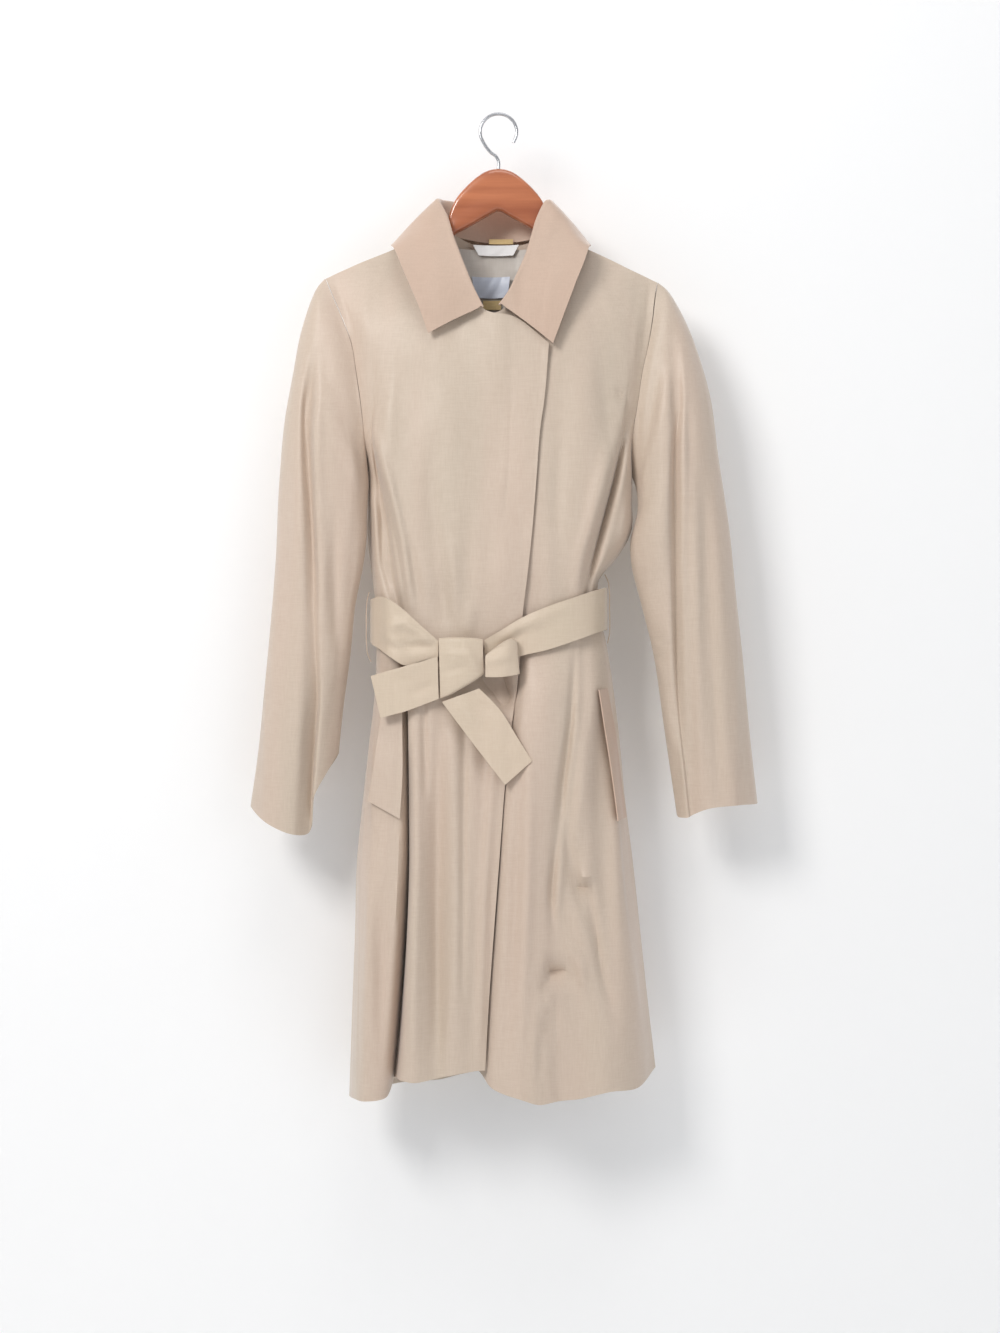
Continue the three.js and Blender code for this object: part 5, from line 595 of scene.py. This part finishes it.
# ---- belt ----
names = [s["at"] for s in BELT_ROUND]
def stretch(a, b, lines=()):
    i, j = names.index(a), names.index(b); rows = BELT_ROUND[i:j + 1]
    g = A([[[s["x"], s["y"], lerp(s["top"], s["bottom"], t)] for s in rows] for t in (0, 1/3, 2/3, 1)], float)
    g = refine(refine(g, 5, 0), 8, 1)
    return crease(g, lines) if lines else g
def ribbon(rows, lines=(), n=3, swell=0):
    g = A([[lerp(A(s["upper"], float), A(s["lower"], float), k / n) for s in rows] for k in range(n + 1)], float)
    g = refine(refine(g, 6, 0), 8, 1)
    return crease(g, lines) if lines else g
B_SIDE_R = [([(-128, -590), (-104, -586), (-72, -603)], 5, 4.5), ([(-138, -606), (-110, -612), (-76, -610)], 5, -3.5), ([(-124, -600), (-102, -618)], 5, 3), ([(-96, -600), (-74, -606)], 4, 2.5), ([(-100, -560), (-76, -590)], 6, 2.5)]
B_SIDE_L = [([(0, -604), (40, -580), (80, -566)], 5, 2), ([(0, -612), (30, -594)], 5, -2), ([(20, -590), (64, -580)], 6, 1.6)]
o_bl = shell("belt_stretch_left", stretch("knotL", "sideL", B_SIDE_L), BELT_CLOTH, ["belt_side_left"], mat=BELT)
o_bb = shell("belt_stretch_back", stretch("sideL", "sideR"), BELT_CLOTH, ["belt_back"], mat=BELT)
o_br = shell("belt_stretch_right", stretch("sideR", "knotR", B_SIDE_R), BELT_CLOTH, ["belt_side_right"], mat=BELT)
o_ts = shell("belt_end_side", ribbon(TAIL_SIDE, [([(-124, -640), (-84, -632)], 8, 1.5), ([(-100, -664), (-70, -654)], 6, -1.5)]), BELT_CLOTH, ["belt_tail_side"], mat=BELT)
o_td = shell("belt_end_down", ribbon(TAIL_DOWN, [([(-50, -672), (-20, -700)], 6, 2), ([(-40, -662), (0, -690)], 5, -1.5), ([(10, -720), (24, -738)], 6, 1.2)]), BELT_CLOTH, ["belt_tail_down"], mat=BELT)
o_bw = shell("belt_bow", ribbon(BOW_LOOP, [([(-14, -628), (14, -622)], 5, 2), ([(-14, -620), (8, -608)], 5, -2)]), BELT_CLOTH, ["belt_bow_loop"], mat=BELT)
# the knot: a plump closed fold
kr = []
for s in KNOT:
    u, l = A(s["upper"], float), A(s["lower"], float); ring = []
    for k in range(5):
        t = k / 4; p = lerp(u, l, t); p[1] -= 3 * 4 * t * (1 - t); ring.append(p)
    low, high = A([l[0], -52, l[2] + 2]), A([u[0], -52, u[2] - 2]); kr.append(ring + [low, (low + high) / 2, high])
kg = refine(refine(A(kr), 6, 0), 6, 1, closed=True)
kg = crease(kg, [([(-66, -618), (-30, -622)], 5, 1.6), ([(-64, -640), (-34, -634)], 5, -1.6), ([(-40, -604), (-22, -640)], 4, 1.2)])
def closed_loft(name, g, nodes, mat):
    R, C = g.shape[:2]; v = list(g.reshape(-1, 3) / 1000); F = []
    for r in range(R - 1):
        for c in range(C): F.append([r*C + c, r*C + (c+1) % C, (r+1)*C + (c+1) % C, (r+1)*C + c])
    for r in (0, R - 1):
        v.append(g[r].mean(0) / 1000); m = len(v) - 1
        for c in range(C): F.append([r*C + c, r*C + (c+1) % C, m])
    return mesh(name, v, F, nodes, mat)
o_kn = closed_loft("belt_knot_fold", kg, ["belt_knot"], BELT)
o_wr = shell("welt_right", ribbon(WELT_R), 1.4, ["pocket_welt_right"], mat=COAT)
# the left welt wears the darker copy of the coat cloth: painted shade along the pocket
o_wl = shell("welt_left", ribbon(WELT_L), 1.4, ["pocket_welt_left"], mat=COAT_CLOTH_PAINTED_SHADE)

# ---- neck pieces ----
def patch(name, x0, x1, z0, z1, y, thick, node, mat, bow=2, taper=0, rough=0.0, n=40, seed=3):
    u = np.linspace(0, 1, n)[None, :]; v = np.linspace(0, 1, n)[:, None]; m = (x0 + x1) / 2
    x = m + (x0 + (x1 - x0) * u - m) * (1 - taper * v); z = z0 + (z1 - z0) * v + 0 * u; yy = y - bow * (2*u - 1)**2 + 0 * v
    rng = np.random.default_rng(seed)
    for _ in range(9):
        a, b, ph = rng.uniform(2, 7), rng.uniform(1, 6), rng.uniform(0, 6.28)
        yy = yy + rough * np.sin(a * 3 * u + b * 2.2 * v + ph) * np.sin(np.pi * u) * 0.4
    return shell(name, np.stack([x, yy, z], -1), thick, [node], mat=mat)
o_li = patch("neck_lining", -54, 50, -150, -255, 27, 0.8, "lining_neck", LINE, bow=17, rough=0.55, n=60)
o_wt = patch("neck_white_tape", -29.7, 23.8, -144.7, -156.9, 23.5, 0.8, "neck_tape", WHITE, bow=4.5, taper=0.25, rough=0.1)
o_sa = patch("neck_satin", -30.8, 13.4, -181.7, -206.1, 23.5, 0.8, "label_satin", SATIN, bow=5, taper=0.12, rough=0.35)
o_tb = patch("neck_small_tab", -18, 2.9, -208.8, -219.3, 23.5, 0.8, "neck_tab", TAPE, bow=0.5)
o_hl = patch("neck_hanging_loop", -11.1, 16.9, -136.7, -142.5, 27, 0.8, "hanging_loop", TAPE, bow=0.8)

# ---- CAD pieces that keep their shape get their own materials ----
def dress(node, mat):
    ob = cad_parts[node]; ob = ob if hasattr(ob, "data") else bpy.data.objects[ob]
    if ob.data.materials:
        for i in range(len(ob.data.materials)): ob.data.materials[i] = mat
    else: ob.data.materials.append(mat)
dress("thread_loop_right", COAT); dress("thread_loop_left", COAT)
# hanger wood and hook, rounder than the solids
h = 6.0; st = [dict(x=-s["out"], **s) for s in HANGER_HALF] + [dict(x=s["out"], **s) for s in HANGER_HALF[:-1][::-1]]
hr = []
for s in st:
    x, top, bot = s["x"], s["top"], s["bottom"]; arm = clamp((abs(x) - 50) / 14, 0, 1)
    c, w, ridge, dr = lerp(3, 2, arm), lerp(h, 4.6, arm), lerp(h - 3, 1, arm), lerp(3, 8, arm)
    low = min(top - dr, bot + c + (top - bot) * .5); up = max(low, top - dr); dn = min(bot + c, up - 1)
    hr.append([[x, -ridge, top], [x, -w, up], [x, -w - .4 * (1 - arm), (up + dn) / 2], [x, -w, dn], [x, -w + c, bot], [x, w - c, bot], [x, w, dn], [x, w + .4 * (1 - arm), (up + dn) / 2], [x, w, up], [x, ridge, top]])
o_wood = closed_loft("hanger_wood", refine(refine(A(hr, float), 5, 0), 4, 1, closed=True), ["hanger_body"], WOOD)
def wire(name, pts, rad, nodes, mat):
    p = refine(A(pts, float)[:, None, :], 8, 0)[:, 0]; t = np.gradient(p, axis=0); t /= np.linalg.norm(t, axis=1, keepdims=True)
    s = np.tile([0., 1, 0], (len(p), 1)); o = np.cross(t, s); k = np.linspace(0, 2*np.pi, 20, endpoint=False)
    g = p[:, None] + rad * (np.cos(k)[None, :, None] * s[:, None] + np.sin(k)[None, :, None] * o[:, None])
    return closed_loft(name, g, nodes, mat)
hp = [[21 * math.cos(math.radians(a)), 0, 1.9 - 21 + 21 * math.sin(math.radians(a))] for a in range(-35, 216, 25)] + [[-10, 0, -41.5], [-3, 0, -47], [0, 0, -53], [0, 0, -61.6]]
o_hk = wire("hanger_wire_hook", hp, 1.9, ["hanger_hook"], METAL)

# ---- stage, lights, camera ----
def plane(name, verts, mat):
    me = bpy.data.meshes.new(name); me.from_pydata(verts, [], [(0, 1, 2, 3)]); me.update()
    ob = bpy.data.objects.new(name, me); bpy.context.scene.collection.objects.link(ob); me.materials.append(mat); return ob
def pale(name, see=False, val=0.86):
    m = bpy.data.materials.new(name); m.use_nodes = True; N, K = m.node_tree.nodes, m.node_tree.links
    b = N["Principled BSDF"]; b.inputs["Base Color"].default_value = (val, val, val, 1); b.inputs["Roughness"].default_value = 0.9
    tc = N.new("ShaderNodeTexCoord"); n = N.new("ShaderNodeTexNoise"); n.inputs["Scale"].default_value = 160; n.inputs["Detail"].default_value = 4; K.new(tc.outputs["Object"], n.inputs["Vector"])
    bp = N.new("ShaderNodeBump"); bp.inputs["Strength"].default_value = 0.12; bp.inputs["Distance"].default_value = 0.001; K.new(n.outputs["Fac"], bp.inputs["Height"]); K.new(bp.outputs[0], b.inputs["Normal"])
    if see:
        ge = N.new("ShaderNodeNewGeometry"); tr = N.new("ShaderNodeBsdfTransparent"); mx = N.new("ShaderNodeMixShader")
        K.new(ge.outputs["Backfacing"], mx.inputs[0]); K.new(b.outputs[0], mx.inputs[1]); K.new(tr.outputs[0], mx.inputs[2]); K.new(mx.outputs[0], N["Material Output"].inputs["Surface"])
    return m
wall_y, floor_z = 0.085, -1.55
plane("floor", [(-4, -4, floor_z), (4, -4, floor_z), (4, 4, floor_z), (-4, 4, floor_z)], pale("pale_floor"))
w_ob = plane("back_wall", [(-4, wall_y, floor_z), (4, wall_y, floor_z), (4, wall_y, 2.5), (-4, wall_y, 2.5)], pale("pale_wall", True, 0.93)); w_ob.visible_shadow = False
def area(name, loc, target, size, power, colour=(1, 1, 1)):
    d = bpy.data.lights.new(name, "AREA"); d.shape = "RECTANGLE"; d.size = size[0]; d.size_y = size[1]; d.energy = power; d.color = colour
    o = bpy.data.objects.new(name, d); bpy.context.scene.collection.objects.link(o); o.location = loc
    o.rotation_euler = (Vector(target) - Vector(loc)).to_track_quat("-Z", "Y").to_euler(); return o
area("key", (-1.35, -2.1, 0.9), (0, 0, -0.66), (0.9, 0.9), 43, (1, 0.985, 0.97))
area("top", (0.2, -1.3, 1.7), (0, 0, -0.7), (1.2, 0.8), 9, (1, 1, 1))
area("fill", (1.8, -2.4, -0.4), (0, 0, -0.7), (1.8, 1.8), 9, (0.96, 0.98, 1))
area("back_soft", (0.3, 2.2, 1.2), (0, 0, -0.6), (2.0, 1.6), 26)
w = bpy.data.worlds.new("studio"); bpy.context.scene.world = w; w.use_nodes = True
w.node_tree.nodes["Background"].inputs[0].default_value = (0.95, 0.97, 1, 1); w.node_tree.nodes["Background"].inputs[1].default_value = 0.46
cam = bpy.data.cameras.new("cam"); cam.sensor_width = 36; cam.lens = 36 * 2.3 / 1.533
co = bpy.data.objects.new("cam", cam); bpy.context.scene.collection.objects.link(co)
co.location = (0.0017, -2.3, -0.6336); co.rotation_euler = (math.pi / 2, 0, 0); bpy.context.scene.camera = co
bpy.context.scene.view_settings.view_transform = "Standard"
